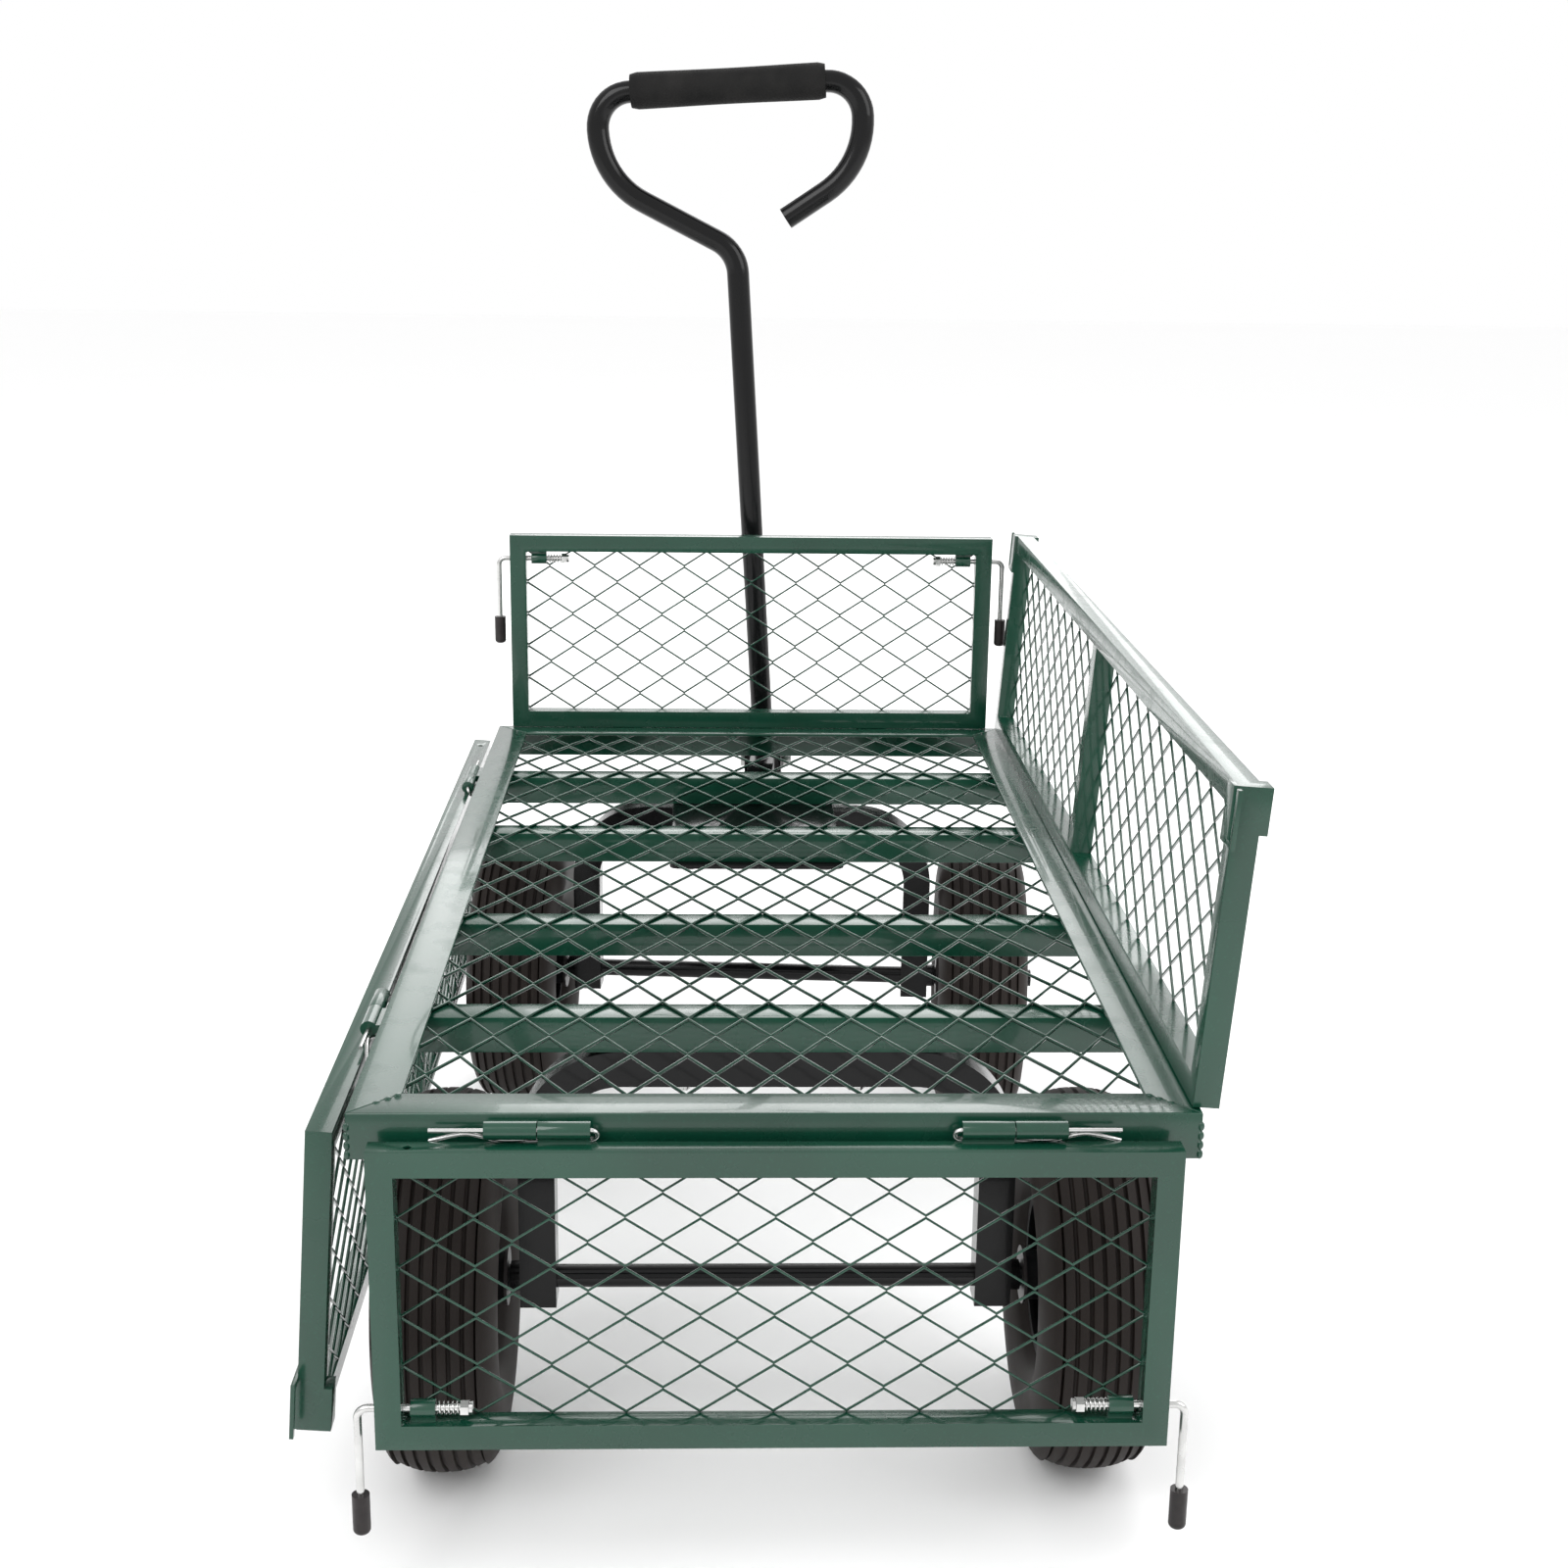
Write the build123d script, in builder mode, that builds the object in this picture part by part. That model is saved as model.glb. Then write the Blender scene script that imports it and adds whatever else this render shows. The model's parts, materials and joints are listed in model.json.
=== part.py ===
"""Steel mesh garden cart: angle-iron bed, four folding mesh gates, steered front axle, pull handle.

Millimetres, +Z up, +Y towards the handle. The origin is on the ground, under the middle of the
cart's bounding box. A gate is drawn in its own plane: x along the hinge, y from the hinge towards
the free edge, z from the mesh face to the plain face.
"""
import os
from math import cos, hypot, radians, sin, tan

from build123d import *

# ---- driving dimensions ----------------------------------------------------------------------
bed_length = 965.0
bed_width = 510.0
tyre_radius = 130.0
bed_clearance = 72.0          # from the top of the tyres to the top of the bed

# bed
rail_leg = 30.0
rail_wall = 3.0
deck_thickness = 2.5
deck_pitch_x = 36.0
deck_pitch_y = 62.0
deck_strand = 3.2
cross_size = 25.0
cross_wall = 2.0
cross_stations = (181.0, 372.0, 611.0, 795.0)   # centres, from the bed's rear edge

# gates
gate_tube = 16.0
gate_wall = 1.5
end_gate_length = 481.0
end_gate_height = 195.0
side_gate_length = 955.0
side_gate_height = 200.0
gate_pitch_x = 43.0
gate_pitch_y = 32.0
gate_strand = 2.0
gate_mesh_thickness = 2.0
mesh_edge = 1.2
vent_radius = 2.5
vent_inset = 24.0             # from the end of the hinge bar

side_gate_lean = 4.0          # degrees short of upright, or of hanging plumb, at a side gate's stops
gate_back = 1.0               # mesh face, behind the hinge axis

# gate hinges, with spring clips for pins
hinge_out = 9.0               # hinge axis, outside the bed's edge
hinge_drop = 7.0
hinge_gap = 0.5               # from the bed's top face to a raised gate
sleeve_radius = 5.5
sleeve_length = 31.0
sleeve_gap = 0.6
end_hinge_station = 141.0     # where the two sleeves of a hinge meet, from the middle of the gate
side_hinge_station = 300.0
clip_radius = 1.25
clip_leg_spacing = 7.6
clip_leg_turn = 25.0          # degrees from plumb, towards the bed
clip_flare = 5.0
clip_wave = 1.1
clip_tail = 34.0              # length of the pin past the outer sleeve
clip_bends = 5                # turns of the wavy leg
clip_lead = 4.0               # straight run between the coil and the first turn
clip_coil_share = 0.48        # coil's radius, as a share of the leg spacing

# gate latches
latch_inset = 24.0            # rod axis, from the gate's free edge
latch_radius = 2.5
latch_bend = 6.5
latch_stand_off = 11.5        # arm axis, from the gate's side
latch_arm = 86.0
guide_radius = 5.5
guide_length = 15.0
guide_gap = 5.0
spring_length = 15.0
spring_radius = 3.9
spring_wire = 0.5
spring_turns = 5.0
nut_length = 5.0
nut_radius = 5.0
rod_head = 2.0
rod_head_radius = 4.0
cap_radius = 5.5
cap_length = 27.0
cap_round = 3.3
cap_cover = 20.0              # length of rod inside the cap

# catches at the side gates' free corners
catch_height = 29.0
catch_depth = 5.0
hook_thickness = 2.5
hook_slot = 7.0
hook_prong = 4.5
hook_below = 7.5              # slot's floor and lower edge, from the rod axis
hook_web = 4.5

# undercarriage
bow_size = 25.0
bow_wall = 2.5
bow_width = 340.0
bow_bend = 58.0
bow_foot = 18.0               # from the axle to the end of a leg
axle_radius = 8.0
collar_radius = 10.5
collar_length = 7.0
bracket_thickness = 4.0
bracket_width = 150.0
bracket_lip = 8.0
kingpin_radius = 6.0
kingpin_head_radius = 10.0
kingpin_head = 2.0
thrust_gap = 1.5
bolt_radius = 4.0
bolt_spacing = 118.0
bolt_head_flats = 13.0
bolt_head_height = 5.3
bolt_nut_height = 6.5
bolt_tail = 3.0               # thread that shows past a nut
kingpin_nut_half_flats = 9.6
steer_angle = 4.0             # degrees, turned to the left when seen from above

# drawbar and handle
drawbar_length = 232.0        # kingpin to handle pivot
drawbar_size = 25.0
fork_wall = 4.0
fork_gap = 30.0
fork_length = 46.0
fork_height = 30.0
pivot_radius = 5.0
pivot_nut_half_flats = 8.0
fork_web_gap = 1.0            # from the handle's eye to the fork's web
handle_radius = 11.0
handle_wall = 1.8
handle_lean = 3.6             # degrees to the left
handle_eye_radius = 13.0
grip_height = 676.0           # handle pivot to grip
loop_half_width = 130.0
loop_top_bend = 34.0
loop_side_bend = 80.0
loop_foot_angle = 30.0        # degrees that the loop's two lower runs rise
shaft_bend = 38.0
loop_straight = 1.0           # upright run between the two bends of each side
open_end_offset = 50.0
foam_radius = 17.5
foam_length = 190.0

# wheels
tyre_width = 82.0
tyre_wall = 7.0
tread_groove_depth = 3.0
tread_groove_width = 3.2
tread_grooves = 4
wheel_inner = 178.0           # cart's middle plane to the tyre's inner side
rim_radius = 58.0
rim_width = 56.0
rim_wall = 3.0
rim_lip = 2.0
rim_dish_radius = 31.9        # where the disc stands out furthest
hub_radius = 17.0
hub_wall = 3.0
bearing_length = 12.0
bearing_flange = 20.0
bearing_flange_length = 2.0
axle_overhang = 10.0
pin_radius = 1.6
pin_length = 26.0
pin_head_radius = 2.9
pin_head_length = 3.2

# clearances
running_fit = 0.08            # radial, wherever a pin or shaft turns
slip_fit = 0.25

# ---- derived places --------------------------------------------------------------------------
bed_top = 2 * tyre_radius + bed_clearance
axle_height = tyre_radius
bed_half_x = bed_width / 2
bed_half_y = bed_length / 2
kingpin_station = cross_stations[3] - bed_half_y
pivot_station = kingpin_station + drawbar_length * cos(radians(steer_angle))
rear_reach = bed_half_y + hinge_out + gate_tube - gate_back
front_reach = pivot_station + fork_height / 2
bed_mid_y = (rear_reach - front_reach) / 2
cross_top = bed_top - rail_wall - deck_thickness
cross_bottom = cross_top - cross_size
cross_y = [bed_mid_y - bed_half_y + station for station in cross_stations]
front_beam_top = cross_bottom - bracket_thickness - thrust_gap
pivot_height = front_beam_top - bow_size / 2
gate_foot = hinge_drop + hinge_gap
wheel_middle = wheel_inner + tyre_width / 2
rod_depth = gate_tube / 2 - gate_back

ground = Plane((0, bed_mid_y, 0))
rear_ground = Plane((0, cross_y[0], 0))
steer_x = Vector(cos(radians(steer_angle)), -sin(radians(steer_angle)), 0)
front_ground = Plane((0, cross_y[3], 0), x_dir=steer_x)


def at(place, x, y, z):
    """The same plane with its origin moved to a point of its own."""
    return Plane(place.from_local_coords((x, y, z)), x_dir=place.x_dir, z_dir=place.z_dir)


def upright(place, x=0.0, y=0.0, z=0.0):
    """A vertical plane that looks backwards: its x is place's x, its y is up."""
    return Plane(place.from_local_coords((x, y, z)), x_dir=place.x_dir, z_dir=-place.y_dir)


def along_x(place, x, y, z):
    """A plane square to place's x axis: its x is place's y, its y is place's z."""
    return Plane(place.from_local_coords((x, y, z)), x_dir=place.y_dir, z_dir=place.x_dir)


def keep(piece, name):
    """Label a finished piece and write it."""
    piece.part.label = name
    export_step(piece.part, f"parts/{name}.step")


def gate_plane(out, half, angle):
    """Plane of a gate hinged at the bed's edge: angle 0 hangs, 180 stands."""
    outward = Vector(*out)
    turn = radians(angle)
    hinge = Vector(0, bed_mid_y, bed_top - hinge_drop) + outward * (half + hinge_out)
    away = outward * sin(turn) - Vector(0, 0, 1) * cos(turn)
    face = outward * cos(turn) + Vector(0, 0, 1) * sin(turn)
    return Plane(hinge, x_dir=away.cross(face), z_dir=face)


def rod(place, radius, length, both=False):
    """A round bar that starts on a plane."""
    with BuildSketch(place) as profile:
        Circle(radius)
    extrude(profile.sketch, amount=length, both=both)


def sweep_round(path, radius):
    """A round bar along a path."""
    with BuildSketch(Plane(path @ 0, z_dir=path % 0)) as profile:
        Circle(radius)
    sweep(profile.sketch, path=path)


# ---- bed -------------------------------------------------------------------------------------
def make_rail(place, length):
    """Angle iron with mitred ends: x along the bed's edge, y into the bed, z up to the top face."""
    half = length / 2
    with BuildPart() as rail:
        with BuildSketch(along_x(place, -half, 0, 0)):
            Polygon((0, 0), (rail_leg, 0), (rail_leg, -rail_wall), (rail_wall, -rail_wall),
                    (rail_wall, -rail_leg), (0, -rail_leg), align=None)
        extrude(amount=length)
        with BuildSketch(place):
            Polygon((-half, 0), (half, 0), (half - rail_leg, rail_leg), (rail_leg - half, rail_leg),
                    align=None)
        extrude(amount=-rail_leg, mode=Mode.INTERSECT)
    return rail


def clipped(corners, half_x, half_y):
    """The part of a convex outline that lies within a rectangle centred on the origin."""
    for way_x, way_y, limit in ((1, 0, half_x), (-1, 0, half_x), (0, 1, half_y), (0, -1, half_y)):
        inside = []
        for start, stop in zip(corners[-1:] + corners[:-1], corners):
            over_start = start[0] * way_x + start[1] * way_y - limit
            over_stop = stop[0] * way_x + stop[1] * way_y - limit
            if over_start * over_stop < 0:
                share = over_start / (over_start - over_stop)
                inside.append(tuple(s + (e - s) * share for s, e in zip(start, stop)))
            if over_stop <= 0:
                inside.append(stop)
        corners = inside
    return corners


def diamonds(pitch_x, pitch_y, strand, width, height):
    """Staggered diamond openings over a panel, each drawn in by half a strand and cut at the edge."""
    half_x = pitch_x / 2
    half_y = pitch_y / 2
    drawn_in = 1 - strand / 2 * hypot(half_x, half_y) / (half_x * half_y)
    columns = int(width / pitch_x) + 1
    rows = int(height / pitch_y) + 1
    smallest = strand * strand
    openings = []
    for column in range(-columns, columns + 1):
        for row in range(-rows, rows + 1):
            if (column + row) % 2:
                continue
            x = column * half_x
            y = row * half_y
            corners = [(x - half_x * drawn_in, y), (x, y - half_y * drawn_in),
                       (x + half_x * drawn_in, y), (x, y + half_y * drawn_in)]
            corners = clipped(corners, width / 2 - mesh_edge, height / 2 - mesh_edge)
            if len(corners) > 2:
                opening = Wire.make_polygon([Vector(*corner) for corner in corners])
                if Face(opening).area > smallest:
                    openings.append(opening)
    return openings


def make_mesh(place, panels, pitch_x, pitch_y, strand, thickness):
    """Expanded metal, one panel for each (middle x, middle y, width, height)."""
    with BuildPart() as mesh:
        for middle_x, middle_y, width, height in panels:
            outline = Wire.make_rect(width, height)
            sheet = Face(outline, diamonds(pitch_x, pitch_y, strand, width, height))
            with BuildSketch(at(place, middle_x, middle_y, 0)):
                add(sheet)
            extrude(amount=thickness)
    return mesh


def make_cross_members():
    """Four square tubes across the bed; the foremost has a seat for the kingpin's head."""
    length = bed_width - 2 * rail_wall
    with BuildPart() as members:
        for y in cross_y:
            with BuildSketch(Plane.YZ.offset(-length / 2)):
                with Locations((y, cross_top - cross_size / 2)):
                    Rectangle(cross_size, cross_size)
                    Rectangle(cross_size - 2 * cross_wall, cross_size - 2 * cross_wall, mode=Mode.SUBTRACT)
            extrude(amount=length)
        with BuildSketch(Plane((0, cross_y[3], cross_bottom))):
            Circle(kingpin_head_radius + slip_fit)
        extrude(amount=cross_wall, mode=Mode.SUBTRACT)
        for y in (cross_y[0], cross_y[2]):
            with BuildSketch(Plane((0, y, cross_bottom))):
                with GridLocations(bolt_spacing, 0, 2, 1):
                    Circle(bolt_radius + slip_fit)
            extrude(amount=cross_wall, mode=Mode.SUBTRACT)
    return members


def hinge_places(place, station):
    """Each hinge of a gate: the plane at the joint of its two sleeves, and which way is outward."""
    return [(at(place, side * station, 0, 0), side) for side in (-1, 1)]


def sleeve(place, side, start):
    """One hinge sleeve along x, from start outwards (or inwards when start is negative)."""
    middle = side * start
    with BuildSketch(along_x(place, middle, 0, 0)) as profile:
        Circle(sleeve_radius)
        Circle(clip_radius + running_fit, mode=Mode.SUBTRACT)
    extrude(profile.sketch, amount=sleeve_length / 2, both=True)


def make_bed_sleeves(edges):
    """The sleeves on the bed's edges, each with the weld that joins it to the rail."""
    reach = (sleeve_length + sleeve_gap) / 2
    with BuildPart() as sleeves:
        for hanging, station in edges:
            for place, side in hinge_places(hanging, station):
                sleeve(place, side, reach)
                with BuildSketch(along_x(place, side * reach, 0, 0)):
                    with Locations((0, -(hinge_out + sleeve_radius - clip_radius) / 2)):
                        Rectangle(sleeve_radius, hinge_out - sleeve_radius + clip_radius)
                extrude(amount=sleeve_length / 2, both=True)
                with BuildSketch(along_x(place, side * reach, 0, 0)):
                    Circle(clip_radius + running_fit)
                extrude(amount=sleeve_length / 2, both=True, mode=Mode.SUBTRACT)
    return sleeves


def make_clips(edges):
    """Spring clips: a straight pin through both sleeves, a round bend, and a wavy leg outside."""
    start = -(sleeve_length + sleeve_gap + clip_leg_spacing / 2)
    stop = sleeve_length + clip_tail
    first = start + clip_leg_spacing + clip_lead
    step = (stop - first) / (clip_bends + 1)
    waves = [(first + step * count, clip_leg_spacing + clip_wave * (count % 2))
             for count in range(clip_bends + 1)]
    points = [(stop, 0), (start, 0), (start, clip_leg_spacing), *waves,
              (stop, clip_leg_spacing + clip_flare)]
    turns = [clip_leg_spacing * clip_coil_share] * 2 + [clip_leg_spacing] * len(waves)
    slant = radians(clip_leg_turn)
    with BuildPart() as clips:
        for hanging, station in edges:
            leg = hanging.y_dir * cos(slant) - hanging.z_dir * sin(slant)
            for place, side in hinge_places(hanging, station):
                outward = place.x_dir * side
                with BuildLine(Plane(place.origin, x_dir=outward, z_dir=outward.cross(leg))) as wire:
                    FilletPolyline(*points, radius=turns)
                sweep_round(wire.wires()[0], clip_radius)
    return clips


# ---- gates -----------------------------------------------------------------------------------
def frame_outline(length, height, inset):
    """The ring of a gate frame, inset from its outer faces, with the window open."""
    with Locations((0, gate_foot + height / 2)):
        Rectangle(length - 2 * inset, height - 2 * inset)
        Rectangle(length - 2 * gate_tube + 2 * inset, height - 2 * gate_tube + 2 * inset, mode=Mode.SUBTRACT)


def make_gate_frame(place, length, height, station, end_gate):
    """Square tube frame with hinge sleeves; an end gate carries latch guides, a side gate catches."""
    clear_height = height - 2 * gate_tube
    middle = gate_foot + height / 2
    reach = -(sleeve_length + sleeve_gap) / 2
    with BuildPart() as gate:
        with BuildSketch(at(place, 0, 0, -gate_back)):
            frame_outline(length, height, 0)
            if not end_gate:
                with Locations((0, middle)):
                    Rectangle(gate_tube, clear_height)
        extrude(amount=gate_tube)
        for hinge, side in hinge_places(place, station):
            with BuildSketch(along_x(hinge, side * reach, 0, 0)):
                Circle(sleeve_radius)
                with Locations(((gate_foot + clip_radius) / 2, gate_back)):
                    Rectangle(gate_foot - clip_radius, 4 * gate_back - 2 * slip_fit)
            extrude(amount=sleeve_length / 2, both=True)
            with BuildSketch(along_x(hinge, side * reach, 0, 0)):
                Circle(clip_radius + running_fit)
            extrude(amount=sleeve_length / 2, both=True, mode=Mode.SUBTRACT)
        with BuildSketch(at(place, 0, 0, gate_wall - gate_back)):
            frame_outline(length, height, gate_wall)
            if not end_gate:
                with Locations((0, middle)):
                    Rectangle(gate_tube - 2 * gate_wall, clear_height + 4 * gate_wall)
        extrude(amount=gate_tube - 2 * gate_wall, mode=Mode.SUBTRACT)
        vent = place.from_local_coords((length / 2 - vent_inset, gate_foot, rod_depth))
        with BuildSketch(Plane(vent, x_dir=place.x_dir, z_dir=place.y_dir)):
            Circle(vent_radius)
        extrude(amount=gate_wall, mode=Mode.SUBTRACT)
        if end_gate:
            add_latch_guides(place, length, height)
        else:
            add_catches(place, length, height)
    return gate


def add_latch_guides(place, length, height):
    """Holes through the posts and a guide tube at each free corner, welded to the free edge's bar."""
    level = gate_foot + height - latch_inset
    inner = length / 2 - gate_tube - guide_gap - guide_length
    bar = gate_foot + height - gate_tube
    for side in (-1, 1):
        with BuildSketch(along_x(place, side * (inner + guide_length / 2), level, rod_depth)) as tube:
            Circle(guide_radius)
            with Locations(((bar - level) / 2, 0)):
                Rectangle(bar - level, guide_radius)
        extrude(tube.sketch, amount=guide_length / 2, both=True)
        with BuildSketch(along_x(place, side * (inner + length / 2) / 2, level, rod_depth)) as hole:
            Circle(latch_radius + running_fit)
        extrude(hole.sketch, amount=(length / 2 - inner) / 2 + slip_fit, both=True, mode=Mode.SUBTRACT)


def add_catches(place, length, height):
    """At each free corner a block outside the post and a slotted hook plate on its inner face."""
    top = gate_foot + height
    rod_level = gate_foot + end_gate_height - latch_inset
    rod_station = bed_half_y + gate_tube - gate_back - hinge_out - gate_tube / 2
    plate_width = hook_slot + 2 * hook_prong
    plate_low = rod_level - hook_below
    slot_low = plate_low + hook_web
    root = length / 2 - gate_tube
    for side in (-1, 1):
        block_place = at(place, side * (length - gate_tube) / 2, top - catch_height / 2,
                         -gate_back - catch_depth)
        with BuildSketch(block_place) as block:
            Rectangle(gate_tube, catch_height)
        extrude(block.sketch, amount=catch_depth)
        with BuildSketch(at(place, 0, 0, gate_tube - gate_back)) as hook:
            with Locations((side * (root + rod_station) / 2, (top + plate_low) / 2)):
                Rectangle(rod_station - root, top - plate_low)
            with Locations((side * rod_station, (top + plate_low) / 2)):
                Rectangle(plate_width, top - plate_low)
            with Locations((side * rod_station, (top + slot_low) / 2)):
                Rectangle(hook_slot, top - slot_low, mode=Mode.SUBTRACT)
        extrude(hook.sketch, amount=hook_thickness)


def window_panels(length, height, middle_post):
    """The clear openings of a gate frame, as panels."""
    middle = gate_foot + height / 2
    clear_height = height - 2 * gate_tube
    if not middle_post:
        return [(0, middle, length - 2 * gate_tube, clear_height)]
    width = (length - 3 * gate_tube) / 2
    return [(side * (width + gate_tube) / 2, middle, width, clear_height) for side in (-1, 1)]


# ---- latches ---------------------------------------------------------------------------------
def make_latch(place, side, arm_way, name):
    """Bent rod with a vinyl cap, its nut and its spring; the arm points along arm_way * y."""
    level = gate_foot + end_gate_height - latch_inset
    guide_inner = end_gate_length / 2 - gate_tube - guide_gap - guide_length
    nut_outer = guide_inner - spring_length
    head_outer = nut_outer - nut_length - slip_fit
    arm_x = end_gate_length / 2 + latch_stand_off
    arm_plane = Plane(place.from_local_coords((0, level, rod_depth)),
                      x_dir=place.x_dir * side, z_dir=place.z_dir * side * arm_way)
    arm_end = latch_arm - cap_length + cap_cover
    with BuildPart() as bar:
        with BuildLine(arm_plane) as wire:
            FilletPolyline((head_outer - rod_head, 0), (arm_x, 0), (arm_x, arm_end), radius=latch_bend)
        sweep_round(wire.wires()[0], latch_radius)
        with BuildSketch(along_x(arm_plane, head_outer - rod_head, 0, 0)):
            Circle(rod_head_radius)
        extrude(amount=rod_head)
    keep(bar, name + "_latch_rod")
    cap_foot = Plane(arm_plane.from_local_coords((arm_x, latch_arm - cap_length, 0)), z_dir=arm_plane.y_dir)
    with BuildPart() as cap:
        with BuildSketch(cap_foot):
            Circle(cap_radius)
        extrude(amount=cap_length)
        fillet(cap.faces().sort_by(Axis(cap_foot.origin, cap_foot.z_dir))[-1].edges(), cap_round)
        with BuildSketch(cap_foot):
            Circle(latch_radius)
        extrude(amount=cap_cover, mode=Mode.SUBTRACT)
    keep(cap, name + "_latch_cap")
    with BuildPart() as nut:
        with BuildSketch(along_x(arm_plane, nut_outer - nut_length, 0, 0)):
            RegularPolygon(nut_radius, 6)
            Circle(latch_radius + running_fit, mode=Mode.SUBTRACT)
        extrude(amount=nut_length)
    keep(nut, name + "_latch_nut")
    coil_length = spring_length - 2 * (spring_wire + slip_fit)
    coil_start = arm_plane.from_local_coords((nut_outer + spring_wire + slip_fit, 0, 0))
    with BuildPart() as spring:
        with BuildLine() as turns:
            Helix(coil_length / spring_turns, coil_length, spring_radius, center=coil_start,
                  direction=arm_plane.x_dir)
        sweep_round(turns.wires()[0], spring_wire)
    keep(spring, name + "_latch_spring")


# ---- undercarriage ---------------------------------------------------------------------------
def make_bow(place, beam_top, hole_radius, hole_spacing):
    """Upside-down U of square tube, its feet bored for the axle and its beam for bolts or a pin."""
    leg = (bow_width - bow_size) / 2
    beam = beam_top - bow_size / 2
    foot = axle_height - bow_foot
    with BuildPart() as bow:
        with BuildLine(upright(place)) as wire:
            FilletPolyline((-leg, foot), (-leg, beam), (leg, beam), (leg, foot), radius=bow_bend)
        start = upright(place, -leg, 0, foot)
        with BuildSketch(Plane(start.origin, x_dir=place.x_dir, z_dir=(0, 0, 1))):
            Rectangle(bow_size, bow_size)
            Rectangle(bow_size - 2 * bow_wall, bow_size - 2 * bow_wall, mode=Mode.SUBTRACT)
        sweep(path=wire.wires()[0])
        with BuildSketch(along_x(place, 0, 0, axle_height)):
            Circle(axle_radius + slip_fit)
        extrude(amount=bow_width, both=True, mode=Mode.SUBTRACT)
        with BuildSketch(at(place, 0, 0, beam)):
            with Locations(*[(x, 0) for x in {-hole_spacing / 2, hole_spacing / 2}]):
                Circle(hole_radius)
        extrude(amount=bow_size, both=True, mode=Mode.SUBTRACT)
    return bow


def make_axle(place):
    """Round axle with a collar outside each leg and a hole for each split pin."""
    half = wheel_inner + tyre_width + axle_overhang
    with BuildPart() as axle:
        rod(along_x(place, 0, 0, axle_height), axle_radius, half, both=True)
        for side in (-1, 1):
            middle = side * (bow_width + collar_length) / 2
            rod(along_x(place, middle, 0, axle_height), collar_radius, collar_length / 2, both=True)
            with BuildSketch(at(place, side * (half - axle_overhang / 2), 0, axle_height)):
                Circle(pin_radius + slip_fit)
            extrude(amount=2 * axle_radius, both=True, mode=Mode.SUBTRACT)
    return axle


def make_split_pins(place):
    """The two pins that keep the wheels on an axle."""
    half = wheel_inner + tyre_width + axle_overhang
    with BuildPart() as pins:
        for side in (-1, 1):
            rod(at(place, side * (half - axle_overhang / 2), 0, axle_height), pin_radius,
                pin_length / 2, both=True)
            top = at(place, side * (half - axle_overhang / 2), 0, axle_height + pin_length / 2)
            rod(top, pin_head_radius, pin_head_length)
    return pins


def make_bracket():
    """Plate under the two front cross members, bored for the kingpin and two bolts."""
    low = cross_y[2] - cross_size / 2 - bracket_lip
    high = cross_y[3] + cross_size / 2 + bracket_lip
    with BuildPart() as bracket:
        with BuildSketch(Plane((0, (low + high) / 2, cross_bottom - bracket_thickness))):
            RectangleRounded(bracket_width, high - low, bracket_lip)
        extrude(amount=bracket_thickness)
        with BuildSketch(Plane((0, cross_y[3], cross_bottom - bracket_thickness))):
            Circle(kingpin_radius + slip_fit)
        extrude(amount=bracket_thickness, mode=Mode.SUBTRACT)
        with BuildSketch(Plane((0, cross_y[2], cross_bottom - bracket_thickness))):
            with GridLocations(bolt_spacing, 0, 2, 1):
                Circle(bolt_radius + slip_fit)
        extrude(amount=bracket_thickness, mode=Mode.SUBTRACT)
    return bracket


def make_kingpin():
    """Headed pin that hangs from the bracket and carries the front bow."""
    length = bracket_thickness + thrust_gap + bow_size + 2 * bolt_head_height + bolt_nut_height
    with BuildPart() as pin:
        rod(Plane((0, cross_y[3], cross_bottom)), kingpin_head_radius, kingpin_head)
        rod(Plane((0, cross_y[3], cross_bottom)), kingpin_radius, -length)
    return pin


def make_kingpin_nut():
    """Nut just under the front bow's beam."""
    top = front_beam_top - bow_size - thrust_gap
    with BuildPart() as nut:
        with BuildSketch(Plane((0, cross_y[3], top))):
            RegularPolygon(kingpin_nut_half_flats, 6, major_radius=False)
            Circle(kingpin_radius, mode=Mode.SUBTRACT)
        extrude(amount=-bolt_head_height * 2)
    return nut


bolt_places = [(x, y, under) for y, under in ((cross_y[0], cross_bottom - bow_size),
                                              (cross_y[2], cross_bottom - bracket_thickness))
               for x in (-bolt_spacing / 2, bolt_spacing / 2)]
nut_level = cross_bottom + cross_wall + slip_fit


def make_bolts():
    """Bolts driven up from below into the nuts inside the cross members."""
    with BuildPart() as bolts:
        for x, y, under in bolt_places:
            rod(Plane((x, y, under)), bolt_radius, nut_level + bolt_nut_height + 1 - under)
            with BuildSketch(Plane((x, y, under))):
                RegularPolygon(bolt_head_flats / 2, 6, major_radius=False)
            extrude(amount=-bolt_head_height)
    return bolts


def make_nuts():
    """Hexagon nuts inside the cross members."""
    with BuildPart() as nuts:
        for x, y, _under in bolt_places:
            with BuildSketch(Plane((x, y, nut_level))):
                RegularPolygon(bolt_head_flats / 2, 6, major_radius=False)
                Circle(bolt_radius, mode=Mode.SUBTRACT)
            extrude(amount=bolt_nut_height)
    return nuts


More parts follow.
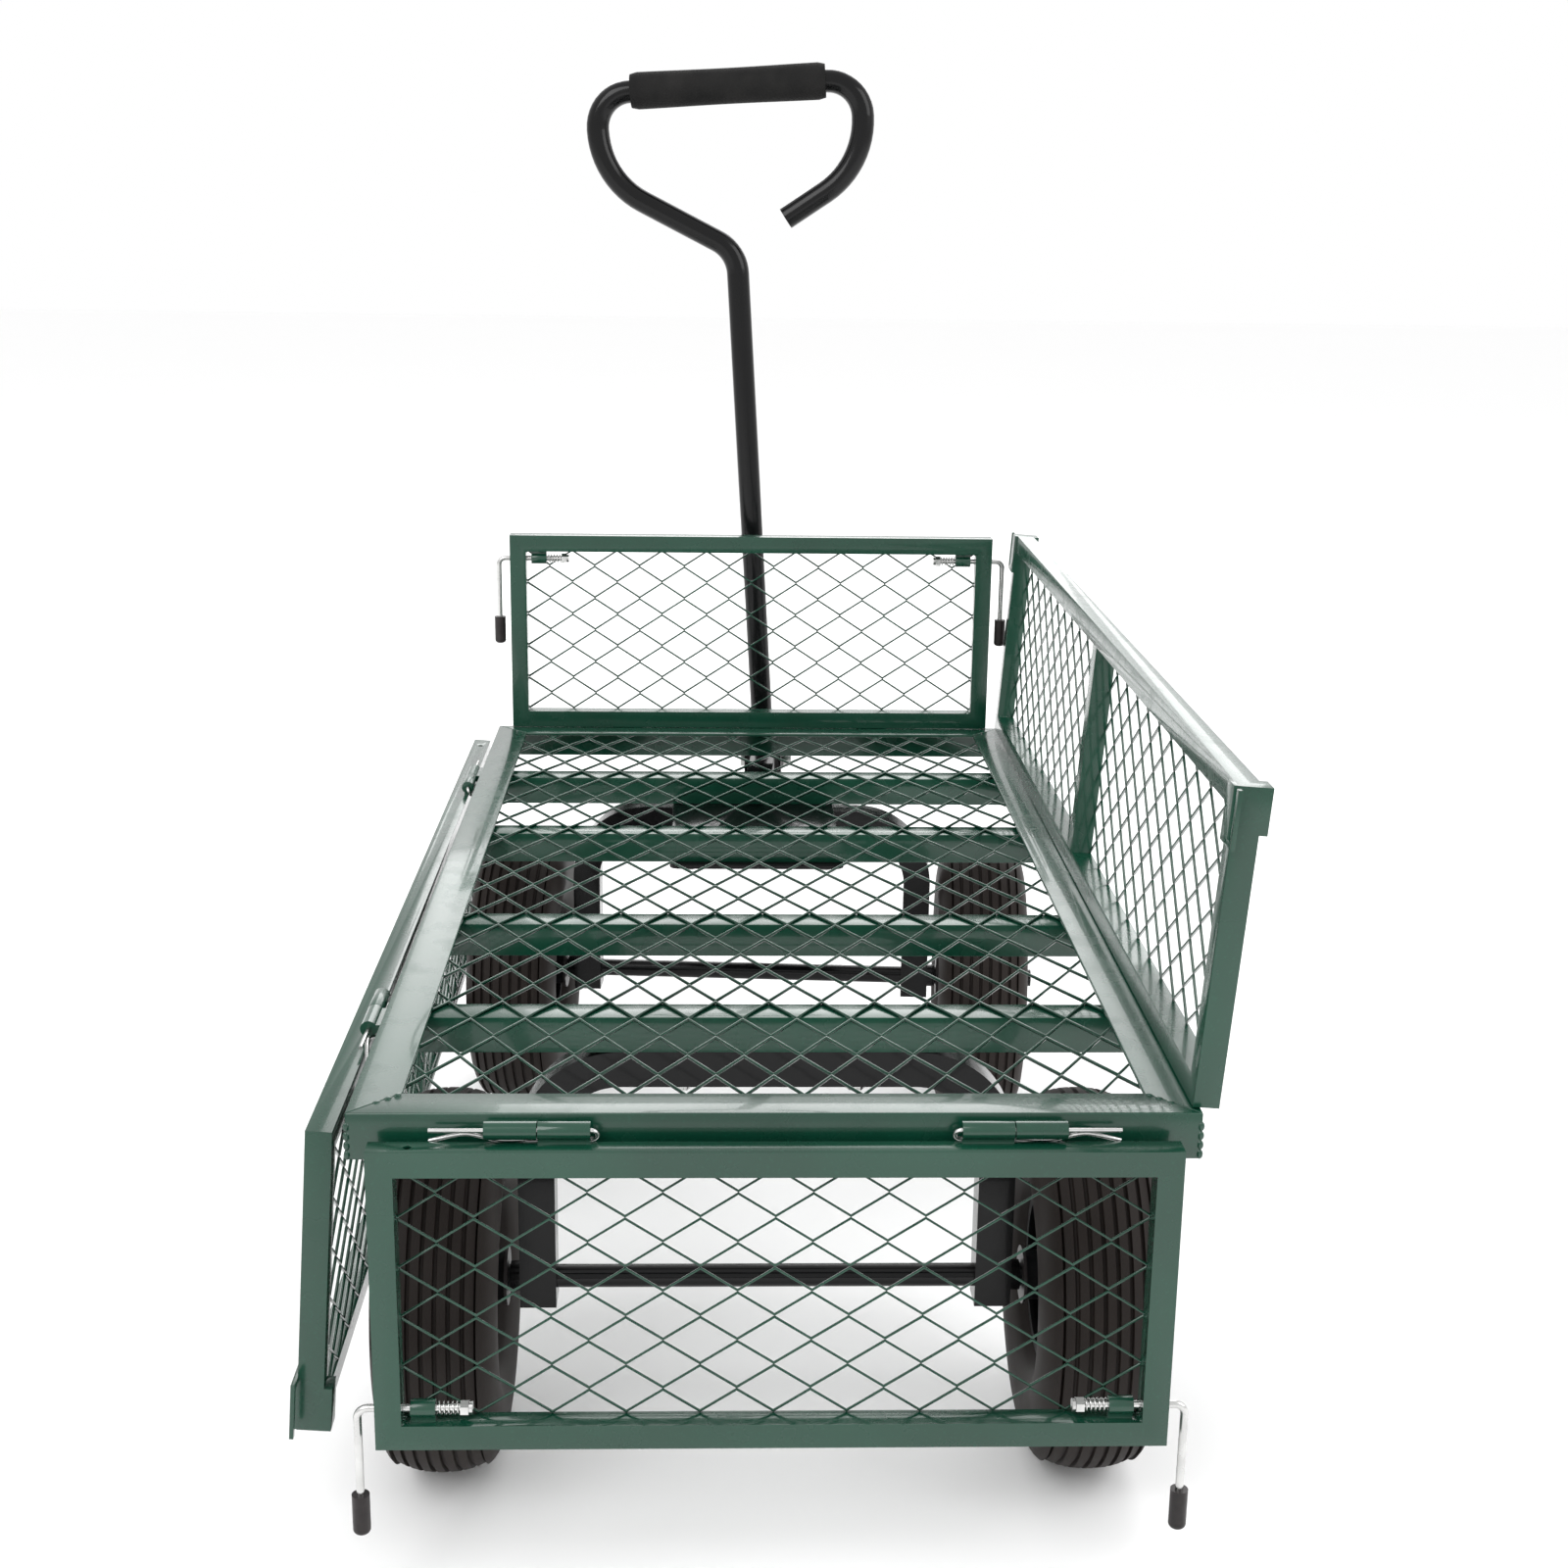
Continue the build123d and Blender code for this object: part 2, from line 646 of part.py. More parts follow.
def make_drawbar():
    """Square tube from the front bow to a fork that holds the handle's eye."""
    web = handle_eye_radius + fork_wall + fork_web_gap
    back = drawbar_length - fork_length + fork_height / 2
    half = fork_gap / 2 + fork_wall
    with BuildPart() as bar:
        with BuildSketch(upright(front_ground, 0, bow_size / 2, pivot_height)):
            Rectangle(drawbar_size, drawbar_size)
            Rectangle(drawbar_size - 2 * bow_wall, drawbar_size - 2 * bow_wall, mode=Mode.SUBTRACT)
        extrude(amount=-(back - bow_size / 2))
        with BuildSketch(upright(front_ground, 0, back, pivot_height)):
            Rectangle(2 * half, fork_height)
        extrude(amount=-fork_wall)
        for side in (-1, 1):
            wall = along_x(front_ground, side * (fork_gap + fork_wall) / 2, drawbar_length, pivot_height)
            with BuildSketch(wall):
                Circle(fork_height / 2)
                with Locations(((back - drawbar_length) / 2, 0)):
                    Rectangle(drawbar_length - back, fork_height)
            extrude(amount=fork_wall / 2, both=True)
        with BuildSketch(along_x(front_ground, 0, drawbar_length, pivot_height)):
            Circle(pivot_radius + slip_fit)
        extrude(amount=2 * half, both=True, mode=Mode.SUBTRACT)
    return bar


def make_pivot_bolt():
    """The bolt across the fork, with its hexagonal head on the left."""
    half = fork_gap / 2 + fork_wall
    pivot = along_x(front_ground, 0, drawbar_length, pivot_height)
    with BuildPart() as bolt:
        with BuildSketch(pivot.offset(-half)):
            Circle(pivot_radius)
        extrude(amount=2 * half + bolt_nut_height + bolt_tail)
        with BuildSketch(pivot.offset(-half)):
            RegularPolygon(pivot_nut_half_flats, 6, major_radius=False)
        extrude(amount=-bolt_head_height)
    return bolt


def make_pivot_nut():
    """The nut on the pivot bolt's right end."""
    half = fork_gap / 2 + fork_wall
    pivot = along_x(front_ground, 0, drawbar_length, pivot_height)
    with BuildPart() as nut:
        with BuildSketch(pivot.offset(half)):
            RegularPolygon(pivot_nut_half_flats, 6, major_radius=False)
            Circle(pivot_radius, mode=Mode.SUBTRACT)
        extrude(amount=bolt_nut_height)
    return nut


# ---- handle ----------------------------------------------------------------------------------
handle_base = upright(front_ground, 0, drawbar_length, pivot_height)
handle_right = handle_base.x_dir * cos(radians(handle_lean)) + handle_base.y_dir * sin(radians(handle_lean))
handle_plane = Plane(handle_base.origin, x_dir=handle_right, z_dir=handle_base.z_dir)


def handle_path():
    """Corners of the handle's centre line: up the shaft, round the loop and back to its open end."""
    rise = tan(radians(loop_foot_angle))
    side_tangent = loop_side_bend * tan(radians(90 - loop_foot_angle) / 2)
    corner = grip_height - loop_top_bend - loop_straight - side_tangent
    neck = corner - loop_half_width * rise
    end = corner - (loop_half_width - open_end_offset) * rise
    return ((0, 0), (0, neck), (-loop_half_width, corner), (-loop_half_width, grip_height),
            (loop_half_width, grip_height), (loop_half_width, corner), (open_end_offset, end))


def make_handle():
    """Bent tube with an eye at its foot."""
    with BuildPart() as handle:
        with BuildLine(handle_plane) as wire:
            FilletPolyline(*handle_path(),
                           radius=[shaft_bend, loop_side_bend, loop_top_bend, loop_top_bend, loop_side_bend])
        path = wire.wires()[0]
        with BuildSketch(Plane(path @ 0, z_dir=path % 0)):
            Circle(handle_radius)
            Circle(handle_radius - handle_wall, mode=Mode.SUBTRACT)
        sweep(path=path)
        eye = along_x(front_ground, 0, drawbar_length, pivot_height)
        rod(eye, handle_eye_radius, fork_gap / 2 - slip_fit * 2, both=True)
        with BuildSketch(eye):
            Circle(pivot_radius + running_fit)
        extrude(amount=fork_gap, both=True, mode=Mode.SUBTRACT)
    return handle


def make_foam():
    """Foam sleeve on the loop's top run."""
    with BuildPart() as foam:
        with BuildSketch(along_x(handle_plane, 0, grip_height, 0)):
            Circle(foam_radius)
            Circle(handle_radius, mode=Mode.SUBTRACT)
        extrude(amount=foam_length / 2, both=True)
    return foam


# ---- wheels ----------------------------------------------------------------------------------
def wheel_section(place, side):
    """Plane that holds a wheel's section: x along the axle, outwards; y along the radius."""
    hub = place.from_local_coords((side * wheel_middle, 0, axle_height))
    return Plane(hub, x_dir=place.x_dir * side, z_dir=place.y_dir * -side)


def make_tyre(section):
    """Pneumatic tyre, open towards the rim, with ribs round its tread."""
    depth = tyre_radius - rim_radius
    with BuildPart() as tyre:
        with BuildSketch(section):
            with Locations((0, rim_radius + depth / 2)):
                RectangleRounded(tyre_width, depth, depth / 3)
                RectangleRounded(tyre_width - 2 * tyre_wall, depth - 2 * tyre_wall, depth / 3 - tyre_wall,
                                 mode=Mode.SUBTRACT)
            with Locations((0, rim_radius + tyre_wall / 2)):
                Rectangle(rim_width / 2, 2 * tyre_wall, mode=Mode.SUBTRACT)
            with Locations((0, tyre_radius)):
                with GridLocations(4 * tread_groove_width, 0, tread_grooves, 1):
                    Rectangle(tread_groove_width, 2 * tread_groove_depth, mode=Mode.SUBTRACT)
        revolve(axis=Axis(section.origin, section.x_dir))
    return tyre


def make_rim(section):
    """Pressed rim, disc and hub tube."""
    half = rim_width / 2
    bore = hub_radius - hub_wall
    hub_half = tyre_width / 2 - bearing_flange_length - slip_fit * 2
    with BuildPart() as rim:
        with BuildSketch(section):
            with Locations((0, rim_radius - rim_wall / 2)):
                Rectangle(rim_width, rim_wall)
            for side in (-1, 1):
                with Locations((side * (half - rim_wall / 2), rim_radius - rim_wall)):
                    Rectangle(rim_wall, 2 * rim_lip + rim_wall)
            with Locations((0, (bore + hub_radius) / 2)):
                Rectangle(2 * hub_half, hub_wall)
            Polygon((0, hub_radius), (rim_wall, hub_radius), (rim_wall + half / 3, rim_dish_radius),
                    (rim_wall, rim_radius - rim_wall), (0, rim_radius - rim_wall),
                    (half / 3, rim_dish_radius),
                    align=None)
        revolve(axis=Axis(section.origin, section.x_dir))
    return rim


def make_bearings(section):
    """Flanged bushes, one in each end of the hub."""
    outside = tyre_width / 2 - slip_fit * 2
    bore = axle_radius + running_fit
    housing = hub_radius - hub_wall
    with BuildPart() as bearings:
        with BuildSketch(section):
            for side in (-1, 1):
                with Locations((side * (outside - bearing_flange_length / 2), (bore + bearing_flange) / 2)):
                    Rectangle(bearing_flange_length, bearing_flange - bore)
                with Locations((side * (outside - bearing_length / 2), (bore + housing) / 2)):
                    Rectangle(bearing_length, housing - bore)
        revolve(axis=Axis(section.origin, section.x_dir))
    return bearings


# ---- build every piece -----------------------------------------------------------------------
def main():
    """Build every piece in its place and write it."""
    os.makedirs("parts", exist_ok=True)
    sides = {"front": (0, 1, 0), "rear": (0, -1, 0), "left": (-1, 0, 0), "right": (1, 0, 0)}
    halves = {"front": bed_half_y, "rear": bed_half_y, "left": bed_half_x, "right": bed_half_x}
    lengths = {"front": bed_width, "rear": bed_width, "left": bed_length, "right": bed_length}
    angles = {"front": 180, "rear": 0, "left": side_gate_lean, "right": 180 - side_gate_lean}
    stations = {"front": end_hinge_station, "rear": end_hinge_station,
                "left": side_hinge_station, "right": side_hinge_station}

    for name, out in sides.items():
        outward = Vector(*out)
        edge = Vector(0, bed_mid_y, bed_top) + outward * halves[name]
        along = outward.cross(Vector(0, 0, 1)) * -1
        keep(make_rail(Plane(edge, x_dir=along, z_dir=(0, 0, 1)), lengths[name]), name + "_rail")

    deck_width = bed_width - 2 * rail_wall
    deck_length = bed_length - 2 * rail_wall
    deck_plane = at(ground, 0, 0, cross_top)
    keep(make_mesh(deck_plane, [(0, 0, deck_width, deck_length)], deck_pitch_x, deck_pitch_y,
                   deck_strand, deck_thickness), "deck_mesh")
    keep(make_cross_members(), "cross_members")

    edges = [(gate_plane(out, halves[name], 0), stations[name]) for name, out in sides.items()]
    keep(make_bed_sleeves(edges), "bed_hinge_sleeves")
    keep(make_clips(edges), "hinge_clips")

    for name, out in sides.items():
        end_gate = name in ("front", "rear")
        length = end_gate_length if end_gate else side_gate_length
        height = end_gate_height if end_gate else side_gate_height
        place = gate_plane(out, halves[name], angles[name])
        keep(make_gate_frame(place, length, height, stations[name], end_gate), name + "_gate_frame")
        panels = window_panels(length, height, not end_gate)
        keep(make_mesh(at(place, 0, 0, -gate_back), panels, gate_pitch_x, gate_pitch_y,
                       gate_strand, gate_mesh_thickness), name + "_gate_mesh")
        if end_gate:
            arm_way = -1 if name == "front" else 1
            for side_name, side_x in (("left", -1), ("right", 1)):
                side = side_x * (1 if place.x_dir.X > 0 else -1)
                make_latch(place, side, arm_way, f"{name}_{side_name}")

    keep(make_bow(rear_ground, cross_bottom, bolt_radius + slip_fit, bolt_spacing), "rear_bow")
    keep(make_axle(rear_ground), "rear_axle")
    keep(make_split_pins(rear_ground), "rear_split_pins")
    keep(make_bolts(), "undercarriage_bolts")
    keep(make_nuts(), "undercarriage_nuts")
    keep(make_bracket(), "steering_bracket")
    keep(make_kingpin(), "kingpin")
    keep(make_kingpin_nut(), "kingpin_nut")

    keep(make_bow(front_ground, front_beam_top, kingpin_radius + running_fit, 0.0), "front_bow")
    keep(make_axle(front_ground), "front_axle")
    keep(make_split_pins(front_ground), "front_split_pins")
    keep(make_drawbar(), "drawbar")
    keep(make_pivot_bolt(), "pivot_bolt")
    keep(make_pivot_nut(), "pivot_nut")
    keep(make_handle(), "handle_tube")
    keep(make_foam(), "grip_foam")

    for end, place in (("front", front_ground), ("rear", rear_ground)):
        for side_name, side in (("left", -1), ("right", 1)):
            section = wheel_section(place, side)
            keep(make_tyre(section), f"{end}_{side_name}_tyre")
            keep(make_rim(section), f"{end}_{side_name}_rim")
            keep(make_bearings(section), f"{end}_{side_name}_bearings")


if __name__ == "__main__":
    main()
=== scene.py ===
"""Looks of the steel mesh garden cart: expanded metal, powder coat, tyres, welds, foam and stage."""
import json
import math

import bmesh
import bpy
from mathutils import Matrix, Vector


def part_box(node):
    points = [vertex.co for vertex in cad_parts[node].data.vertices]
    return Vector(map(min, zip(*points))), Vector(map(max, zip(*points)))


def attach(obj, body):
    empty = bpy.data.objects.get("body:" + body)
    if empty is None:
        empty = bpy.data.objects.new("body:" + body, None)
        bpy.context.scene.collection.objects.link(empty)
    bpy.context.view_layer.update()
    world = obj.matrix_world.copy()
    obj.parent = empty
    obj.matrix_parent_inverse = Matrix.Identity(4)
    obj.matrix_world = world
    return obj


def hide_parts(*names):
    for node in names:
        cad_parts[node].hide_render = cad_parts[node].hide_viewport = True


bl_info = {
    "name": "Garden cart",
    "version": (1, 0, 0),
    "blender": (4, 5, 0),
    "location": "View3D > Sidebar > Cart",
    "description": "Finishes and fine pieces of a steel mesh garden cart",
    "category": "Object",
}

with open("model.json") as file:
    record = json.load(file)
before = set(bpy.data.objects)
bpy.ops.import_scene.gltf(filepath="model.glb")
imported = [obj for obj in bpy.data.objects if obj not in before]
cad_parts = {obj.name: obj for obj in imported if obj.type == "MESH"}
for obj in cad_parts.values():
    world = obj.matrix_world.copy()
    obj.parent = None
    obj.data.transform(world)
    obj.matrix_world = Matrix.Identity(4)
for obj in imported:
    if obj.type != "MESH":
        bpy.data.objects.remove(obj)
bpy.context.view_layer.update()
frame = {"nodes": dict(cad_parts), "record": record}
RECORD = frame["record"]
JOINTS = {joint["name"]: joint for joint in RECORD["behaviour"]["joints"]}
BODY_OF = {node: body for body, nodes in RECORD["behaviour"]["bodies"].items() for node in nodes}
GATES = ("front", "rear", "left", "right")
WHEELS = [f"{end}_{side}" for end in ("front", "rear") for side in ("left", "right")]
MM = 0.001
MERGE_GAP = 0.01 * MM                   # corners closer than this are one
FLAT_ANGLE = math.radians(0.8)          # faces that turn less than this are one face
SHARP_ANGLE = math.radians(38)          # edges that turn more than this stay sharp in shading
ROUNDED_ANGLE = math.radians(42)        # edges that turn more than this are rounded
DIVIDED_GAP = 14 * MM                   # a middle upright leaves at least this gap between panels
MIDDLE_GAP = 4 * MM                     # twice how far from the middle that gap may lie

CAMERA_LENS = 49.9                      # millimetres, on a 36 mm sensor
CAMERA_PLACE = (-0.0402, -1.7006, 0.8588)
CAMERA_PITCH = math.radians(15.22)      # down from level
CAMERA_YAW = math.radians(2.01)         # to the right of +Y
CAMERA_ROLL = math.radians(-0.79)
LIGHTS = (                              # name, place, aim, side, watts
    ("key", (-2.2, -2.6, 3.4), (0, 0, 0.3), 2.6, 95.0),
    ("fill", (2.8, -1.2, 2.2), (0, 0, 0.3), 2.2, 45.0),
    ("rim", (0.4, 3.2, 2.6), (0, 0, 0.4), 2.8, 70.0),
)


# ---- sizes and colours -------------------------------------------------------------------------
class CartSizes(bpy.types.PropertyGroup):
    """Sizes of the fine pieces."""
    deck_pitch: bpy.props.FloatVectorProperty(
        name="Deck pitch", description="Diamond width and length in the deck", size=2,
        default=(36 * MM, 62 * MM), subtype="XYZ_LENGTH")
    gate_pitch: bpy.props.FloatVectorProperty(
        name="Gate pitch", description="Diamond length and height in a gate", size=2,
        default=(43 * MM, 32 * MM), subtype="XYZ_LENGTH")
    deck_strand: bpy.props.FloatProperty(
        name="Deck strand", description="Width of a deck strand", default=2.3 * MM, unit="LENGTH")
    gate_strand: bpy.props.FloatProperty(
        name="Gate strand", description="Width of a gate strand", default=1.9 * MM, unit="LENGTH")
    strand_tilt: bpy.props.FloatProperty(
        name="Strand tilt", description="How far expanding the sheet turns each strand",
        default=math.radians(18), subtype="ANGLE")
    edge_round: bpy.props.FloatProperty(
        name="Edge round", description="Rounding left by the powder coat on sharp steel",
        default=0.9 * MM, unit="LENGTH")
    clip_wire: bpy.props.FloatProperty(
        name="Clip wire", description="Radius of a spring clip's wire", default=1.4 * MM, unit="LENGTH")
    tyre_ribs: bpy.props.IntProperty(
        name="Tyre ribs", description="Ribs round the tread", default=7, min=3)
    weld_width: bpy.props.FloatProperty(
        name="Weld width", description="Width of a weld bead", default=4.2 * MM, unit="LENGTH")


class CartColours(bpy.types.PropertyGroup):
    """Colours of the finishes."""
    green: bpy.props.FloatVectorProperty(
        name="Green coat", description="Powder coat of the bed and the gates", size=4, min=0, max=1,
        default=(0.0026, 0.036, 0.020, 1), subtype="COLOR")
    black: bpy.props.FloatVectorProperty(
        name="Black coat", description="Powder coat of the undercarriage and the handle",
        size=4, min=0, max=1, default=(0.0025, 0.0025, 0.0028, 1), subtype="COLOR")
    zinc: bpy.props.FloatVectorProperty(
        name="Zinc", description="Bright zinc of clips, latches and bolts", size=4, min=0, max=1,
        default=(0.66, 0.66, 0.65, 1), subtype="COLOR")
    tyre: bpy.props.FloatVectorProperty(
        name="Tyre", description="Rubber of the tyres", size=4, min=0, max=1,
        default=(0.016, 0.0125, 0.011, 1), subtype="COLOR")
    floor: bpy.props.FloatVectorProperty(
        name="Floor", description="Plain pale floor", size=4, min=0, max=1, default=(0.985, 0.985, 0.985, 1),
        subtype="COLOR")


def sizes():
    return bpy.context.scene.cart_sizes


def colours():
    return bpy.context.scene.cart_colours


# ---- shader maths ------------------------------------------------------------------------------
class Field:
    """A socket in a material's tree, with arithmetic."""

    def __init__(self, finish, socket):
        self.finish = finish
        self.socket = socket

    def _math(self, operation, first, second):
        return self.finish.node("ShaderNodeMath", {"operation": operation}, {0: first, 1: second})

    def __add__(self, other):
        return self._math("ADD", self, other)

    def __sub__(self, other):
        return self._math("SUBTRACT", self, other)

    def __rsub__(self, other):
        return self._math("SUBTRACT", other, self)

    def __mul__(self, other):
        return self._math("MULTIPLY", self, other)

    __radd__ = __add__
    __rmul__ = __mul__


class Finish:
    """A material with one shader, built from nodes."""

    def __init__(self, name, roughness=0.4, metallic=0.0, coat=0.0, specular=0.5):
        self.material = bpy.data.materials.new(name)
        self.material.use_nodes = True
        self.tree = self.material.node_tree
        self.shader = self.tree.nodes["Principled BSDF"]
        self.shader.inputs["Roughness"].default_value = roughness
        self.shader.inputs["Metallic"].default_value = metallic
        self.shader.inputs["Coat Weight"].default_value = coat
        self.shader.inputs["Coat Roughness"].default_value = 0.06
        self.shader.inputs["Specular IOR Level"].default_value = specular
        self.place = self.node("ShaderNodeTexCoord", {}, {}, "Object")

    def node(self, kind, settings, values, output=0):
        """Any node: its settings first, then its sockets' values or links."""
        made = self.tree.nodes.new(kind)
        stops = settings.pop("stops", None)
        for key, value in settings.items():
            setattr(made, key, value)
        if stops:
            ramp = made.color_ramp.elements
            while len(ramp) < len(stops):
                ramp.new(0.5)
            for element, (position, colour) in zip(ramp, stops):
                element.position = position
                element.color = colour
        for key, value in values.items():
            if isinstance(value, Field):
                self.tree.links.new(value.socket, made.inputs[key])
            else:
                made.inputs[key].default_value = value
        return Field(self, made.outputs[output])

    def noise(self, scale, detail=3.0, place=None):
        return self.node("ShaderNodeTexNoise", {}, {
            "Vector": place or self.place, "Scale": scale, "Detail": detail})

    def ramp(self, value, low, high):
        return self.node("ShaderNodeMapRange", {}, {"Value": value, "From Min": low, "From Max": high})

    def mix(self, share, first, second):
        return self.node("ShaderNodeMix", {"data_type": "RGBA"}, {0: share, 6: first, 7: second}, 2)

    def set(self, socket, value):
        self.tree.links.new(value.socket, self.shader.inputs[socket])

    def bump(self, height, strength, distance):
        self.set("Normal", self.node("ShaderNodeBump", {}, {
            "Height": height, "Strength": strength, "Distance": distance}))


def tinted(colour, factor):
    return tuple(channel * factor for channel in colour[:3]) + (1,)


def powder_coat(name, colour, light, roughness, peel, sheen=0.4):
    """Gloss powder coat: fine orange peel, faint settling of colour, a few dull handling marks."""
    finish = Finish(name, roughness=roughness, coat=sheen, specular=sheen)
    cloud = finish.ramp(finish.noise(9.0), 0.35, 0.7)
    speck = finish.ramp(finish.noise(420.0, 1.0), 0.62, 0.72)
    base = finish.mix(cloud, tuple(colour), tinted(colour, light))
    finish.set("Base Color", finish.mix(speck * 0.10, base, tinted(colour, 3.0)))
    rub = finish.ramp(finish.noise(38.0, 6.0), 0.5, 0.78)
    finish.set("Roughness", rub * 0.14 + roughness)
    finish.bump(finish.noise(peel, 2.0), 0.16, 0.0004)
    return finish.material


def zinc_plate(name, colour):
    """Bright zinc with drawing marks and slightly cloudy patches."""
    finish = Finish(name, roughness=0.22, metallic=1.0)
    cloud = finish.ramp(finish.noise(60.0), 0.3, 0.75)
    finish.set("Base Color", finish.mix(cloud, tuple(colour), tinted(colour, 0.72)))
    finish.set("Roughness", cloud * 0.18 + 0.17)
    finish.bump(finish.noise(900.0, 2.0), 0.12, 0.0002)
    return finish.material


def tyre_rubber(name, colour):
    """Matt moulded rubber, a little dustier in patches."""
    finish = Finish(name, roughness=0.62, specular=0.14)
    dust = finish.ramp(finish.noise(14.0, 5.0), 0.45, 0.8)
    finish.set("Base Color", finish.mix(dust * 0.5, tuple(colour), tinted(colour, 2.2)))
    finish.set("Roughness", dust * 0.16 + 0.55)
    finish.bump(finish.noise(700.0, 3.0), 0.25, 0.0004)
    return finish.material


def foam_rubber(name):
    """Closed-cell foam: fine cells and a satin skin."""
    finish = Finish(name, roughness=0.78, specular=0.12)
    cells = finish.node("ShaderNodeTexVoronoi", {}, {"Vector": finish.place, "Scale": 650.0})
    shade = finish.ramp(finish.noise(40.0), 0.3, 0.8)
    finish.set("Base Color", finish.mix(shade, (0.009, 0.009, 0.009, 1), (0.017, 0.0165, 0.016, 1)))
    finish.bump(cells + finish.noise(160.0) * 0.6, 0.35, 0.0006)
    return finish.material


def dipped_vinyl(name):
    """Soft black vinyl with a slight flow to its surface."""
    finish = Finish(name, roughness=0.38, specular=0.3)
    flow = finish.noise(120.0, 2.0)
    shade = finish.ramp(flow, 0.3, 0.7)
    finish.set("Base Color", finish.mix(shade, (0.012, 0.010, 0.010, 1), (0.022, 0.018, 0.018, 1)))
    finish.bump(flow, 0.2, 0.0008)
    return finish.material


def pale_floor(name, colour):
    finish = Finish(name, roughness=0.75, specular=0.2)
    finish.set("Base Color", finish.mix(finish.noise(2.0), tuple(colour), tinted(colour, 0.994)))
    return finish.material


def finish_for(slot):
    return bpy.data.materials["cart_" + slot]


# ---- mesh helpers ------------------------------------------------------------------------------
def new_piece(name, mesh, body, slot, smooth=True, replaces=()):
    """A finished mesh becomes a piece of the cart."""
    piece = bpy.data.objects.new(name, mesh)
    bpy.context.scene.collection.objects.link(piece)
    mesh.materials.clear()
    mesh.materials.append(finish_for(slot))
    if smooth:
        mesh.shade_smooth()
        mesh.set_sharp_from_angle(angle=SHARP_ANGLE)
    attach(piece, body)
    if replaces:
        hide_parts(*replaces)
    return piece


def flatten(piece):
    """Bake an object's modifiers into a plain mesh."""
    made = bpy.data.meshes.new_from_object(piece.evaluated_get(bpy.context.evaluated_depsgraph_get()))
    bpy.data.objects.remove(piece)
    return made


def merged_copy(node):
    """A node's mesh with its loose triangles joined and its flat faces whole."""
    shape = bmesh.new()
    shape.from_mesh(frame["nodes"][node].data)
    bmesh.ops.remove_doubles(shape, verts=shape.verts, dist=MERGE_GAP)
    bmesh.ops.dissolve_limit(shape, angle_limit=FLAT_ANGLE, verts=shape.verts, edges=shape.edges)
    mesh = bpy.data.meshes.new(node + "_coat")
    shape.to_mesh(mesh)
    shape.free()
    return mesh


def soft_edged(node, slot, width):
    """A node again, with the rounded edges that its coating gives it."""
    rough = bpy.data.objects.new(node + "_rough", merged_copy(node))
    bpy.context.scene.collection.objects.link(rough)
    bevel = rough.modifiers.new("Edges", "BEVEL")
    bevel.width = width
    bevel.segments = 2
    bevel.limit_method = "ANGLE"
    bevel.angle_limit = ROUNDED_ANGLE
    new_piece(node + "_coat", flatten(rough), BODY_OF[node], slot, replaces=(node,))


def cross_frame(centre, axis):
    """A matrix whose x is the axis, for shapes drawn about it."""
    along = Vector(axis).normalized()
    up = Vector((0, 0, 1)) if abs(along.z) < 0.9 else Vector((0, 1, 0))
    side = up.cross(along).normalized()
    up = along.cross(side)
    turn = Matrix((along, side, up)).transposed().to_4x4()
    return Matrix.Translation(Vector(centre)) @ turn


def revolved(name, outline, place, segments):
    """A closed outline of (along, radius) turned about the x axis of place."""
    shape = bmesh.new()
    rings = []
    for step in range(segments):
        angle = math.tau * step / segments
        ring = [Vector((along, radius * math.cos(angle), radius * math.sin(angle)))
                for along, radius in outline]
        rings.append([shape.verts.new(place @ corner) for corner in ring])
    count = len(outline)
    for step in range(segments):
        ring, following = rings[step], rings[(step + 1) % segments]
        for corner in range(count):
            after = (corner + 1) % count
            shape.faces.new((ring[corner], ring[after], following[after], following[corner]))
    bmesh.ops.recalc_face_normals(shape, faces=shape.faces)
    mesh = bpy.data.meshes.new(name)
    shape.to_mesh(mesh)
    shape.free()
    return mesh


def wheel_place(wheel):
    """Centre and axis of a wheel, as a matrix whose x is the axle."""
    joint = JOINTS[wheel + "_wheel_spin"]
    return cross_frame(joint["pos_m"], joint["axis"])


def reach(node, place):
    """How far a node's mesh reaches: lowest and highest along place's x, least and most radius."""
    back = place.inverted()
    points = [back @ vertex.co for vertex in frame["nodes"][node].data.vertices]
    along = [point.x for point in points]
    radii = [math.hypot(point.y, point.z) for point in points]
    return min(along), max(along), min(radii), max(radii)


# ---- expanded metal ----------------------------------------------------------------------------
def tree_socket(tree, name, kind, default):
    socket = tree.interface.new_socket(name=name, in_out="INPUT", socket_type=kind)
    socket.default_value = default
    return socket


